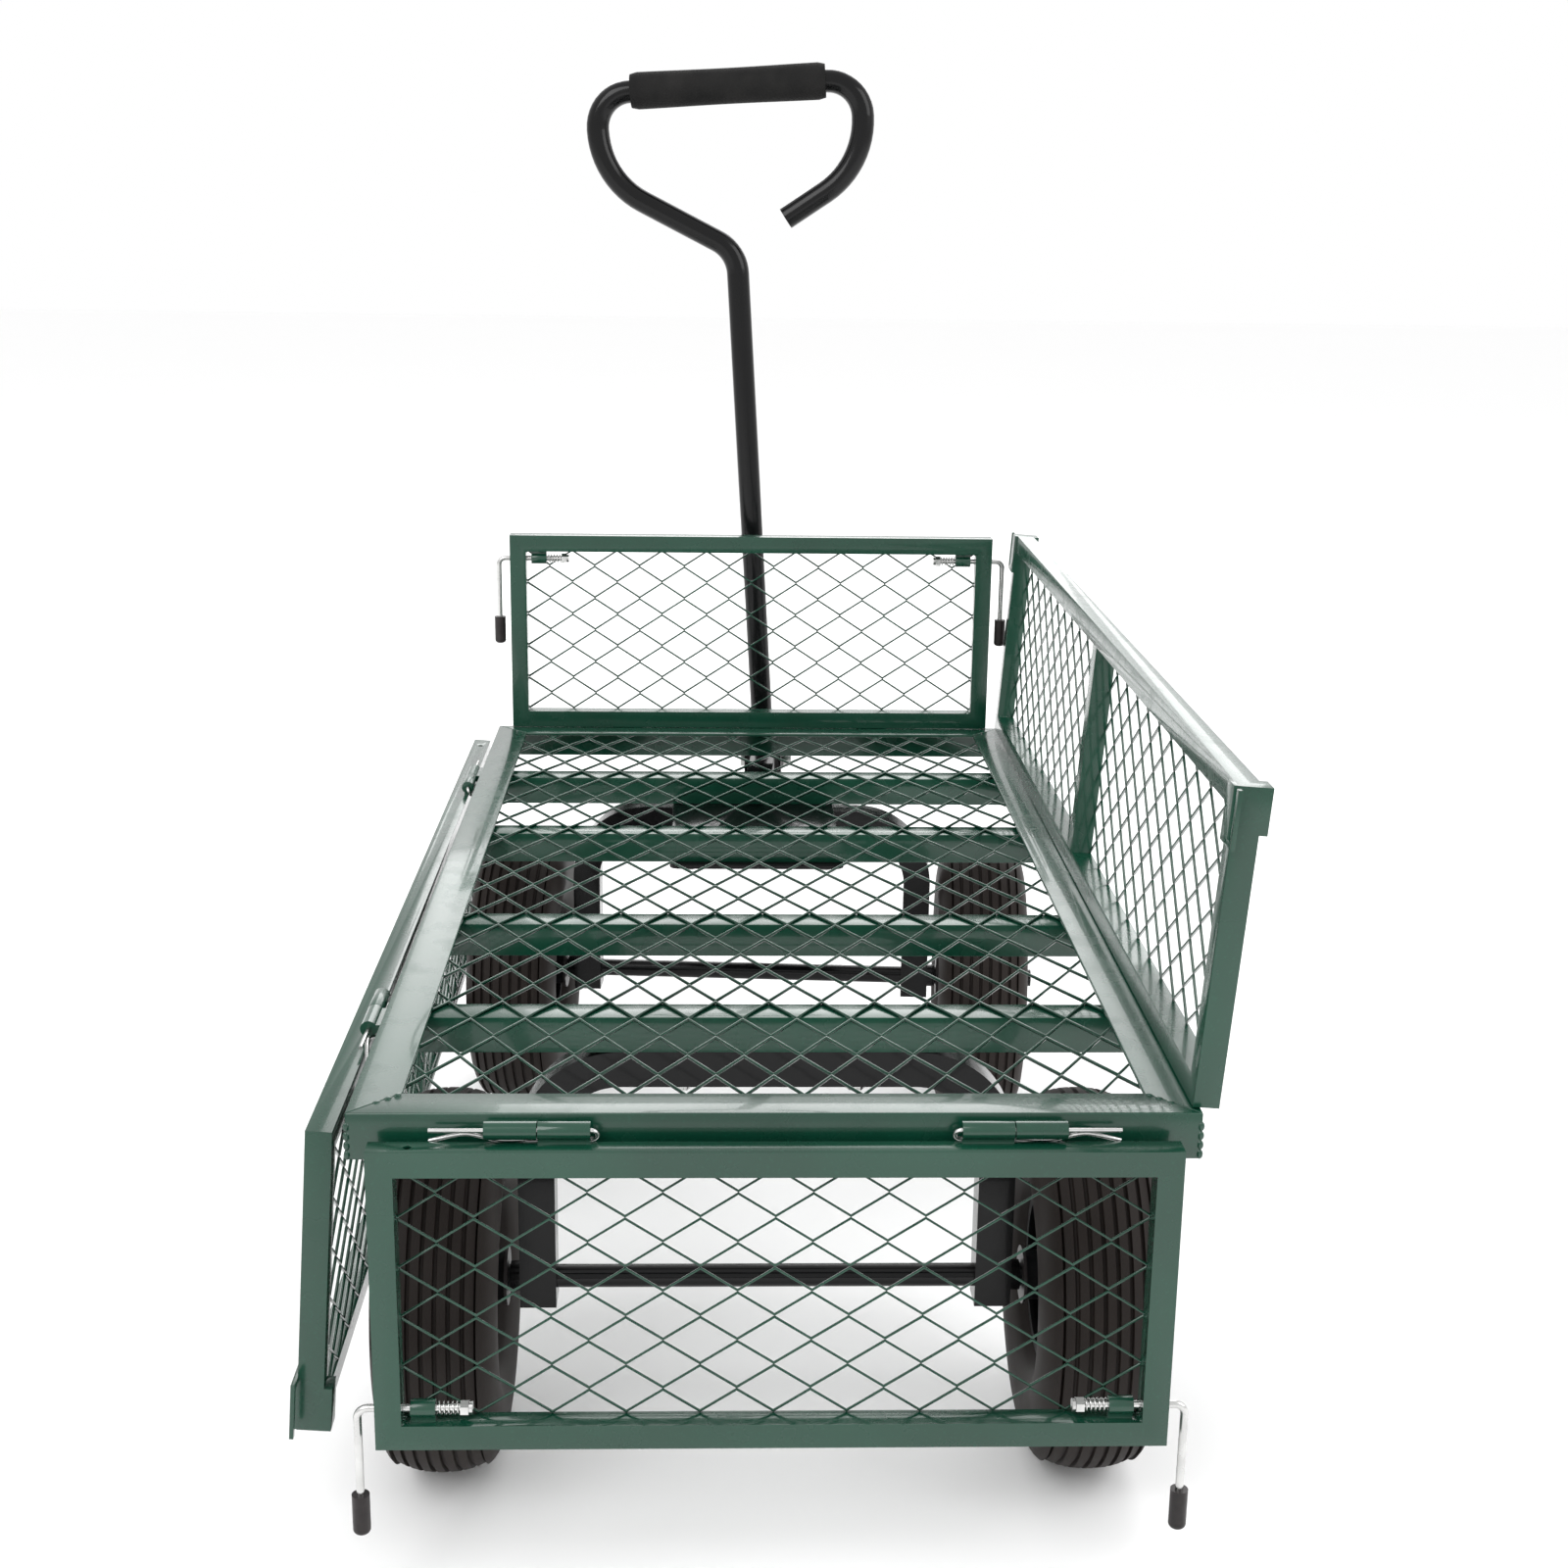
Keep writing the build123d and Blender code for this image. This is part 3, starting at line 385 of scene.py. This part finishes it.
def expanded_metal_tree():
    """Rows of zigzag strands that meet at their corners, swept with a flat section."""
    tree = bpy.data.node_groups.new("Expanded metal", "GeometryNodeTree")
    tree.interface.new_socket(name="Geometry", in_out="OUTPUT", socket_type="NodeSocketGeometry")
    for name, kind, default in (("Width", "NodeSocketFloat", 1.0), ("Height", "NodeSocketFloat", 1.0),
                                ("Columns", "NodeSocketInt", 10), ("Rows", "NodeSocketInt", 10),
                                ("Strand", "NodeSocketFloat", 0.003), ("Thickness", "NodeSocketFloat", 0.002),
                                ("Tilt", "NodeSocketFloat", 0.4)):
        tree_socket(tree, name, kind, default)
    tree.interface.new_socket(name="Finish", in_out="INPUT", socket_type="NodeSocketMaterial")

    def node(kind, settings=None, **values):
        made = tree.nodes.new(kind)
        for key, value in (settings or {}).items():
            setattr(made, key, value)
        for key, value in values.items():
            key = int(key[1:]) if key[0] == "s" and key[1:].isdigit() else key.replace("_", " ")
            if isinstance(value, bpy.types.NodeSocket):
                tree.links.new(value, made.inputs[key])
            else:
                made.inputs[key].default_value = value
        return made

    def maths(operation, first, second=0.0):
        return node("ShaderNodeMath", {"operation": operation}, s0=first, s1=second).outputs[0]

    given = node("NodeGroupInput").outputs
    across = maths("ADD", given["Columns"], 1)
    grid = node("GeometryNodeMeshGrid", Size_X=given["Width"], Size_Y=given["Height"],
                Vertices_X=across, Vertices_Y=given["Rows"])
    index = node("GeometryNodeInputIndex").outputs[0]
    column = maths("FLOOR", maths("DIVIDE", index, given["Rows"]))
    row = maths("SUBTRACT", index, maths("MULTIPLY", column, given["Rows"]))
    odd = maths("MODULO", maths("ADD", column, row), 2)
    rise = maths("DIVIDE", given["Height"], given["Rows"])
    x = maths("SUBTRACT", maths("MULTIPLY", maths("DIVIDE", column, given["Columns"]), given["Width"]),
              maths("MULTIPLY", given["Width"], 0.5))
    y = maths("SUBTRACT", maths("MULTIPLY", maths("ADD", row, odd), rise),
              maths("MULTIPLY", given["Height"], 0.5))
    drawn_in = maths("MULTIPLY", maths("SUBTRACT", maths("MULTIPLY", odd, -2), -1),
                     maths("MULTIPLY", given["Strand"], 0.42))
    y = maths("ADD", y, drawn_in)
    places = node("ShaderNodeCombineXYZ", X=x, Y=y).outputs[0]
    ends = node("GeometryNodeInputMeshEdgeVertices")
    apart = node("ShaderNodeVectorMath", {"operation": "SUBTRACT"}, s0=ends.outputs["Position 1"],
                 s1=ends.outputs["Position 2"]).outputs[0]
    sideways = maths("ABSOLUTE", node("ShaderNodeSeparateXYZ", s0=apart).outputs["X"])
    upright = node("FunctionNodeCompare", {"data_type": "FLOAT", "operation": "LESS_THAN"},
                   A=sideways, B=1e-5).outputs[0]
    rows_only = node("GeometryNodeDeleteGeometry", {"domain": "EDGE", "mode": "EDGE_FACE"},
                     Geometry=grid.outputs["Mesh"], Selection=upright)
    zigzag = node("GeometryNodeSetPosition", Geometry=rows_only.outputs[0], Position=places)
    strands = node("GeometryNodeMeshToCurve", Mesh=zigzag.outputs[0])
    lifted = node("GeometryNodeSetCurveNormal", Curve=strands.outputs[0])
    lifted.mode = "Z_UP"
    tilted = node("GeometryNodeSetCurveTilt", Curve=lifted.outputs[0], Tilt=given["Tilt"])
    section = node("GeometryNodeCurvePrimitiveQuadrilateral",
                   Width=given["Thickness"], Height=given["Strand"])
    swept = node("GeometryNodeCurveToMesh", Curve=tilted.outputs[0],
                 Profile_Curve=section.outputs[0], Fill_Caps=True)
    real = node("GeometryNodeRealizeInstances", Geometry=swept.outputs[0])
    painted = node("GeometryNodeSetMaterial", Geometry=real.outputs[0], Material=given["Finish"])
    out = tree.nodes.new("NodeGroupOutput")
    tree.links.new(painted.outputs[0], out.inputs[0])
    return tree


def expanded_panel(tree, width, height, pitch, strand, thickness):
    """One panel of expanded metal in its own plane, centred on the origin."""
    holder = bpy.data.objects.new("panel", bpy.data.meshes.new("panel"))
    bpy.context.scene.collection.objects.link(holder)
    modifier = holder.modifiers.new("Expanded metal", "NODES")
    modifier.node_group = tree
    columns = 2 * round(width / pitch[0])
    rows = 2 * round(height / pitch[1])
    values = {"Width": width, "Height": height, "Columns": columns, "Rows": rows, "Strand": strand,
              "Thickness": thickness, "Tilt": sizes().strand_tilt, "Finish": finish_for("green_paint")}
    for item in tree.interface.items_tree:
        if item.in_out == "INPUT":
            modifier[item.identifier] = values[item.name]
    return flatten(holder)


def join_meshes(name, meshes):
    shape = bmesh.new()
    for mesh in meshes:
        shape.from_mesh(mesh)
    joined = bpy.data.meshes.new(name)
    shape.to_mesh(joined)
    shape.free()
    return joined


def gate_place(gate):
    """Plane of a gate at rest: x along the hinge, y to the free edge, z from the mesh into the frame."""
    joint = JOINTS[gate + "_gate_swing"]
    middle = sum((Vector(corner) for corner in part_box(gate + "_gate_mesh")), Vector()) / 2
    bulk = sum((Vector(corner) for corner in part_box(gate + "_gate_frame")), Vector()) / 2
    axis = Vector(joint["axis"])
    away = middle - Vector(joint["pos_m"])
    away = (away - away.dot(axis) * axis).normalized()
    if axis.cross(away).dot(bulk - middle) < 0:
        axis = -axis
    return Matrix.Translation(middle) @ Matrix((axis, away, axis.cross(away))).transposed().to_4x4()


def panel_spans(node, place):
    """Widths and middles of a node's panels, along place's x and y."""
    back = place.inverted()
    points = [back @ vertex.co for vertex in frame["nodes"][node].data.vertices]
    xs = sorted({round(point.x, 5) for point in points})
    ys = [point.y for point in points]
    zs = [point.z for point in points]
    widest = max(range(1, len(xs)), key=lambda index: xs[index] - xs[index - 1])
    gap = xs[widest] - xs[widest - 1]
    spans = [(xs[0], xs[-1])]
    if gap > DIVIDED_GAP and abs(xs[widest] + xs[widest - 1]) < MIDDLE_GAP:
        spans = [(xs[0], xs[widest - 1]), (xs[widest], xs[-1])]
    return spans, (min(ys), max(ys)), (min(zs), max(zs))


# ---- pieces ------------------------------------------------------------------------------------
class CART_OT_finishes(bpy.types.Operator):
    """Make every finish and give it to every node"""
    bl_idname = "cart.finishes"
    bl_label = "Finishes"

    def execute(self, context):
        tones = colours()
        made = {
            "green_paint": powder_coat("cart_green_paint", tones.green, 1.35, 0.24, 1300.0),
            "black_paint": powder_coat("cart_black_paint", tones.black, 1.5, 0.17, 1100.0, 0.16),
            "rim_paint": powder_coat("cart_rim_paint", tinted(tones.black, 1.6), 1.4, 0.42, 900.0, 0.1),
            "zinc": zinc_plate("cart_zinc", tones.zinc),
            "tyre": tyre_rubber("cart_tyre", tones.tyre),
            "foam": foam_rubber("cart_foam"),
            "vinyl": dipped_vinyl("cart_vinyl"),
            "bush": dipped_vinyl("cart_bush"),
            "floor": pale_floor("cart_floor", tones.floor),
        }
        slots = {sub["node"]: sub["material_slot"] for sub in RECORD["subparts"]}
        for node, cad in frame["nodes"].items():
            cad.data.materials.clear()
            cad.data.materials.append(made[slots[node]])
        return {"FINISHED"}


class CART_OT_mesh_panels(bpy.types.Operator):
    """Weave the deck and the gate panels from expanded metal"""
    bl_idname = "cart.mesh_panels"
    bl_label = "Mesh panels"

    def execute(self, context):
        tree = expanded_metal_tree()
        low, high = (Vector(corner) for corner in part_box("deck_mesh"))
        deck = expanded_panel(tree, high.x - low.x, high.y - low.y, sizes().deck_pitch, sizes().deck_strand,
                              (high.z - low.z) * 0.5)
        deck.transform(Matrix.Translation((low + high) / 2))
        new_piece("deck_expanded", deck, "chassis", "green_paint", False, ("deck_mesh",))
        for gate in GATES:
            place = gate_place(gate)
            spans, (bottom, top), (back, face) = panel_spans(gate + "_gate_mesh", place)
            panels = []
            for start, stop in spans:
                panel = expanded_panel(tree, stop - start, top - bottom, sizes().gate_pitch,
                                       sizes().gate_strand, (face - back) * 0.75)
                middle = ((start + stop) / 2, (bottom + top) / 2, (back + face) / 2)
                panel.transform(place @ Matrix.Translation(middle))
                panels.append(panel)
            name = gate + "_gate_expanded"
            new_piece(name, join_meshes(name, panels), gate + "_gate", "green_paint", False,
                      (gate + "_gate_mesh",))
        return {"FINISHED"}


class CART_OT_coated_steel(bpy.types.Operator):
    """Round the edges of rails, frames and fittings as their coating does"""
    bl_idname = "cart.coated_steel"
    bl_label = "Coated steel"

    def execute(self, context):
        width = sizes().edge_round
        for side in GATES:
            soft_edged(side + "_rail", "green_paint", width)
            soft_edged(side + "_gate_frame", "green_paint", width)
        soft_edged("cross_members", "green_paint", width)
        for node in ("drawbar", "steering_bracket"):
            soft_edged(node, "black_paint", width)
        for node in ("undercarriage_bolts", "kingpin_nut", "pivot_bolt", "pivot_nut"):
            soft_edged(node, "zinc", width * 0.4)
        return {"FINISHED"}


class CART_OT_tyres(bpy.types.Operator):
    """Mould the four pneumatic tyres with their ribbed treads"""
    bl_idname = "cart.tyres"
    bl_label = "Tyres"

    steps_round = 144
    groove = 2.6 * MM
    mould_line = 0.5 * MM                   # raised line on the sidewall

    def execute(self, context):
        for wheel in WHEELS:
            node = wheel + "_tyre"
            place = wheel_place(wheel)
            low, high, bead, crown = reach(node, place)
            outline = self.outline((high - low) / 2, bead, crown)
            place = place @ Matrix.Translation(((low + high) / 2, 0, 0))
            new_piece(node + "_moulded", revolved(node, outline, place, self.steps_round),
                      wheel + "_wheel", "tyre", True, (node,))
        return {"FINISHED"}

    def outline(self, half_width, bead, crown):
        """Half of the section, bead to crown, mirrored: sidewall arc, shoulder and ribs."""
        height = crown - bead
        tread = half_width * 0.74
        ribs = sizes().tyre_ribs
        side = []
        for step in range(15):
            angle = math.radians(-62 + step * 9.3)
            along = half_width * (0.60 + 0.40 * math.cos(angle))
            radius = bead + height * (0.50 + 0.46 * math.sin(angle))
            lift = self.mould_line if step in (5, 6) else 0.0
            side.append((min(along + lift, half_width), radius))
        pitch = 2 * tread / ribs
        top = []
        for rib in range(ribs):
            left = -tread + rib * pitch
            for share, depth in ((0.14, self.groove), (0.22, 0.0), (0.86, 0.0), (0.94, self.groove)):
                along = left + pitch * share
                drop = (crown - bead) * 0.10 * (abs(along) / tread) ** 2.4
                top.append((along, crown - drop - depth))
        inner = [(half_width * 0.42, bead + 0.3 * MM), (half_width * 0.36, bead + 9 * MM)]
        right = inner[:1] + side
        outline = [(-along, radius) for along, radius in right] + top + list(reversed(right))
        return outline + [inner[1], (-inner[1][0], inner[1][1])]


class CART_OT_wheel_fittings(bpy.types.Operator):
    """Bolt the rims together and fit their valves"""
    bl_idname = "cart.wheel_fittings"
    bl_label = "Wheel fittings"

    bolts = 4
    bolt_faces = (13 * MM, -1 * MM)                 # head and nut, along the axle
    bolt_circle = 0.56                              # share of the rim's edge
    head_radius = 5.2 * MM
    head_depth = 5 * MM
    valve_out = 18 * MM
    valve_circle = 0.80                             # share of the rim's edge
    valve_lean = math.radians(-18)
    stem = ((-9 * MM, 4 * MM), (2 * MM, 3.6 * MM), (4 * MM, 3 * MM), (14 * MM, 2.7 * MM),
            (14 * MM, 3.4 * MM), (19 * MM, 3.4 * MM), (20 * MM, 2.4 * MM), (20 * MM, 0.3 * MM),
            (-9 * MM, 0.3 * MM))

    def execute(self, context):
        for wheel in WHEELS:
            place = wheel_place(wheel)
            low, high, _, edge = reach(wheel + "_rim", place)
            outer, inner = (abs((place @ Vector((end, 0, 0))).x) for end in (high, low))
            turned = place if outer > inner else place @ Matrix.Rotation(math.pi, 4, "Z")
            ring = edge * self.bolt_circle
            shape = bmesh.new()
            for count in range(self.bolts):
                spin = turned @ Matrix.Rotation(math.tau * (count + 0.5) / self.bolts, 4, "X")
                for face in self.bolt_faces:
                    head = spin @ Matrix.Translation((face, ring, 0)) @ Matrix.Rotation(math.pi / 2, 4, "Y")
                    bmesh.ops.create_cone(shape, cap_ends=True, segments=6, radius1=self.head_radius,
                                          radius2=self.head_radius, depth=self.head_depth, matrix=head)
            mesh = bpy.data.meshes.new(wheel + "_rim_bolts")
            bmesh.ops.recalc_face_normals(shape, faces=shape.faces)
            shape.to_mesh(mesh)
            shape.free()
            new_piece(wheel + "_rim_bolts", mesh, wheel + "_wheel", "zinc")
            valve = turned @ Matrix.Translation((self.valve_out, 0, edge * self.valve_circle))
            valve = valve @ Matrix.Rotation(self.valve_lean, 4, "Y")
            new_piece(wheel + "_valve", revolved(wheel + "_valve", self.stem, valve, 20),
                      wheel + "_wheel", "bush")
        return {"FINISHED"}


class CART_OT_grip(bpy.types.Operator):
    """Slip the foam grip over the handle's top run"""
    bl_idname = "cart.grip"
    bl_label = "Foam grip"

    end_reach = 40 * MM                     # corners this near a tip are averaged for the grip's end

    def execute(self, context):
        mesh = frame["nodes"]["grip_foam"].data
        points = [vertex.co for vertex in mesh.vertices]
        middle = sum(points, Vector()) / len(points)
        furthest = max(points, key=lambda point: point.x)
        nearest = min(points, key=lambda point: point.x)
        ends = []
        for tip in (nearest, furthest):
            around = [point for point in points if (point - tip).length < self.end_reach]
            ends.append(sum(around, Vector()) / len(around))
        place = cross_frame(middle, ends[1] - ends[0])
        low, high, bore, skin = reach("grip_foam", place)
        half = (high - low) / 2
        steps = 28
        outer = []
        for step in range(steps + 1):
            along = -half + 2 * half * step / steps
            share = abs(along) / half
            radius = skin * (0.972 - 0.02 * math.cos(share * math.pi)) if share < 0.97 else skin * 0.955
            outer.append((along, radius))
        inside = bore + 0.2 * MM
        lip = skin * 0.90
        outline = [(-half, inside), (-half, lip)] + outer[1:-1] + [(half, lip), (half, inside)]
        sleeve = revolved("grip_foam_sleeve", outline, place, 64)
        grip = new_piece("grip_foam_sleeve", sleeve, "handle", "foam", True, ("grip_foam",))
        return {"FINISHED"}


def wire_mesh(name, runs, radius):
    """Round wires swept along smooth runs of points."""
    curve = bpy.data.curves.new(name, "CURVE")
    curve.dimensions = "3D"
    curve.bevel_depth = radius
    curve.bevel_resolution = 3
    curve.use_fill_caps = True
    for run in runs:
        spline = curve.splines.new("POLY")
        spline.points.add(len(run) - 1)
        for point, place in zip(spline.points, run):
            point.co = (*place, 1)
    wire = bpy.data.objects.new(name, curve)
    bpy.context.scene.collection.objects.link(wire)
    return flatten(wire)


def smooth_run(corners, steps=8):
    """Points on a smooth curve through corners."""
    ends = [2 * corners[0] - corners[1]] + list(corners) + [2 * corners[-1] - corners[-2]]
    run = []
    for before, start, stop, after in zip(ends, ends[1:], ends[2:], ends[3:]):
        for step in range(steps):
            t = step / steps
            run.append(0.5 * (2 * start + (stop - before) * t
                              + (2 * before - 5 * start + 4 * stop - after) * t ** 2
                              + (3 * start - before - 3 * stop + after) * t ** 3))
    return run + [corners[-1]]


def islands(mesh):
    """Corner boxes of a mesh's separate solids, in order of place."""
    shape = bmesh.new()
    shape.from_mesh(mesh)
    bmesh.ops.remove_doubles(shape, verts=shape.verts, dist=MERGE_GAP)
    left = set(shape.verts)
    boxes = []
    while left:
        stack = [left.pop()]
        low, high = stack[0].co.copy(), stack[0].co.copy()
        while stack:
            vertex = stack.pop()
            low = Vector(map(min, low, vertex.co))
            high = Vector(map(max, high, vertex.co))
            for edge in vertex.link_edges:
                other = edge.other_vert(vertex)
                if other in left:
                    left.remove(other)
                    stack.append(other)
        boxes.append((low, high))
    shape.free()
    return sorted(boxes, key=lambda box: tuple(box[0]))


class CART_OT_clips(bpy.types.Operator):
    """Bend the spring clips that pin the gates' hinges"""
    bl_idname = "cart.clips"
    bl_label = "Spring clips"

    bend = 3.8 * MM                         # radius of the closed end
    leg_lean = math.radians(25)             # the wavy leg's lean in towards the bed
    waves = ((0.36, 7.6), (0.50, 8.6), (0.60, 8.0), (0.70, 4.6), (0.78, 2.8), (0.86, 4.4), (1.0, 9.0))

    def execute(self, context):
        wire = sizes().clip_wire
        middle_y = JOINTS["left_gate_swing"]["pos_m"][1]
        runs = []
        for low, high in islands(frame["nodes"]["hinge_clips"].data):
            span = high - low
            across = 0 if span.x > span.y else 1
            centre = (low + high) / 2
            if across:
                gate = "left" if centre.x < 0 else "right"
            else:
                gate = "rear" if centre.y < middle_y else "front"
            joint = Vector(JOINTS[gate + "_gate_swing"]["pos_m"])
            side = 1 if centre[across] > joint[across] else -1
            along = Vector((side, 0, 0)) if across == 0 else Vector((0, side, 0))
            outward = Vector((joint.x, 0, 0)) if across else Vector((0, joint.y - middle_y, 0))
            leg = Vector((0, 0, -math.cos(self.leg_lean))) - outward.normalized() * math.sin(self.leg_lean)
            start = joint.copy()
            start[across] = low[across] + wire if side > 0 else high[across] - wire
            length = span[across] - 2 * wire
            turn = []
            for degrees in range(180, -1, -15):
                angle = math.radians(degrees)
                turn.append(start + along * self.bend * (1 - math.sin(angle))
                            + leg * self.bend * (1 - math.cos(angle)))
            wavy = [start + along * (length * share) + leg * (gap * MM) for share, gap in self.waves]
            pin = start + along * length
            runs.append([pin] + list(reversed(turn)) + smooth_run([turn[0] + along * 2 * MM] + wavy))
        clips = wire_mesh("spring_clips", runs, wire)
        new_piece("spring_clips", clips, "chassis", "zinc", True, ("hinge_clips",))
        return {"FINISHED"}


class CART_OT_welds(bpy.types.Operator):
    """Lay weld beads in the corners of the bed and the gates"""
    bl_idname = "cart.welds"
    bl_label = "Welds"

    sunk = 0.6 * MM                         # how deep a bead's middle lies under the steel's face

    def execute(self, context):
        outer_low = Vector(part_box("left_rail")[0])
        outer_high = Vector(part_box("right_rail")[1])
        top = outer_high.z
        leg = (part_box("left_rail")[1][0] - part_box("left_rail")[0][0])
        runs = []
        for x, way_x in ((outer_low.x, 1), (outer_high.x, -1)):
            for y, way_y in ((outer_low.y, 1), (outer_high.y, -1)):
                for share in (0.55, 0.75, 0.92):
                    spot = Vector((x + way_x * leg * share, y + way_y * leg * share, top - self.sunk))
                    runs.append((spot, Vector((way_x, way_y, 0))))
                for share in (0.3, 0.5, 0.7, 0.9):
                    spot = Vector((x + way_x * self.sunk, y + way_y * self.sunk, top - leg * share))
                    runs.append((spot, Vector((0, 0, 1))))
        new_piece("bed_welds", beads("bed_welds", runs), "chassis", "green_paint")
        for gate in GATES:
            place = gate_place(gate)
            spans, (bottom, edge), (back, face) = panel_spans(gate + "_gate_mesh", place)
            left, right = spans[0][0], spans[-1][1]
            runs = []
            for x in (left, right):
                for y in (bottom, edge):
                    for depth in (0.2, 0.45, 0.7):
                        spot = Vector((x, y, back + 3 * MM + 13 * MM * depth))
                        runs.append((place @ spot, place.to_3x3() @ Vector((0, 0, 1))))
            new_piece(gate + "_gate_welds", beads(gate + "_gate_welds", runs), gate + "_gate", "green_paint")
        return {"FINISHED"}


def beads(name, runs):
    """Short overlapping beads, each longer along its own run."""
    shape = bmesh.new()
    size = sizes().weld_width / 2
    for spot, along in runs:
        place = cross_frame(spot, along) @ Matrix.Diagonal((1.5, 1, 0.7, 1))
        bmesh.ops.create_icosphere(shape, subdivisions=2, radius=size, matrix=place)
    bmesh.ops.recalc_face_normals(shape, faces=shape.faces)
    mesh = bpy.data.meshes.new(name)
    shape.to_mesh(mesh)
    shape.free()
    return mesh


class CART_OT_stage(bpy.types.Operator):
    """Set the floor, the lights and the camera"""
    bl_idname = "cart.stage"
    bl_label = "Stage"

    def execute(self, context):
        scene = context.scene
        floor_mesh = bpy.data.meshes.new("floor")
        shape = bmesh.new()
        bmesh.ops.create_grid(shape, x_segments=1, y_segments=1, size=14.0)
        shape.to_mesh(floor_mesh)
        shape.free()
        floor = bpy.data.objects.new("floor", floor_mesh)
        floor_mesh.materials.append(finish_for("floor"))
        scene.collection.objects.link(floor)
        world = bpy.data.worlds.new("studio")
        world.use_nodes = True
        world.node_tree.nodes["Background"].inputs["Color"].default_value = (1, 1, 1, 1)
        world.node_tree.nodes["Background"].inputs["Strength"].default_value = 1.0
        scene.world = world
        for name, spot, aim, size, power in LIGHTS:
            light = bpy.data.lights.new(name, "AREA")
            light.shape = "SQUARE"
            light.size = size
            light.energy = power
            lamp = bpy.data.objects.new(name, light)
            lamp.location = spot
            lamp.rotation_euler = (Vector(spot) - Vector(aim)).to_track_quat("Z", "Y").to_euler()
            scene.collection.objects.link(lamp)
        camera_data = bpy.data.cameras.new("camera")
        camera_data.lens = CAMERA_LENS
        camera_data.sensor_width = 36.0
        camera = bpy.data.objects.new("camera", camera_data)
        flat = math.cos(CAMERA_PITCH)
        forward = Vector((math.sin(CAMERA_YAW) * flat, math.cos(CAMERA_YAW) * flat, -math.sin(CAMERA_PITCH)))
        level = Vector((math.cos(CAMERA_YAW), -math.sin(CAMERA_YAW), 0))
        down = forward.cross(level)
        right = math.cos(CAMERA_ROLL) * level + math.sin(CAMERA_ROLL) * down
        up = -(-math.sin(CAMERA_ROLL) * level + math.cos(CAMERA_ROLL) * down)
        turn = Matrix((right, up, -forward)).transposed().to_4x4()
        camera.matrix_world = Matrix.Translation(CAMERA_PLACE) @ turn
        scene.collection.objects.link(camera)
        scene.camera = camera
        scene.view_settings.view_transform = "Standard"
        return {"FINISHED"}


class CART_PT_pieces(bpy.types.Panel):
    """The cart's pieces in the sidebar"""
    bl_label = "Garden cart"
    bl_space_type = "VIEW_3D"
    bl_region_type = "UI"
    bl_category = "Cart"

    def draw(self, context):
        for operator in OPERATORS:
            self.layout.operator(operator.bl_idname)
        for name in CartSizes.__annotations__:
            self.layout.prop(context.scene.cart_sizes, name)
        for name in CartColours.__annotations__:
            self.layout.prop(context.scene.cart_colours, name)


OPERATORS = (CART_OT_finishes, CART_OT_mesh_panels, CART_OT_coated_steel, CART_OT_tyres,
             CART_OT_wheel_fittings, CART_OT_grip, CART_OT_clips, CART_OT_welds, CART_OT_stage)
CLASSES = (CartSizes, CartColours) + OPERATORS + (CART_PT_pieces,)


def register():
    for cls in CLASSES:
        bpy.utils.register_class(cls)
    bpy.types.Scene.cart_sizes = bpy.props.PointerProperty(type=CartSizes)
    bpy.types.Scene.cart_colours = bpy.props.PointerProperty(type=CartColours)


def unregister():
    del bpy.types.Scene.cart_sizes
    del bpy.types.Scene.cart_colours
    for cls in reversed(CLASSES):
        bpy.utils.unregister_class(cls)


def main():
    register()
    for operator in OPERATORS:
        getattr(bpy.ops.cart, operator.bl_idname.split(".")[1])()


if __name__ == "__main__":
    main()
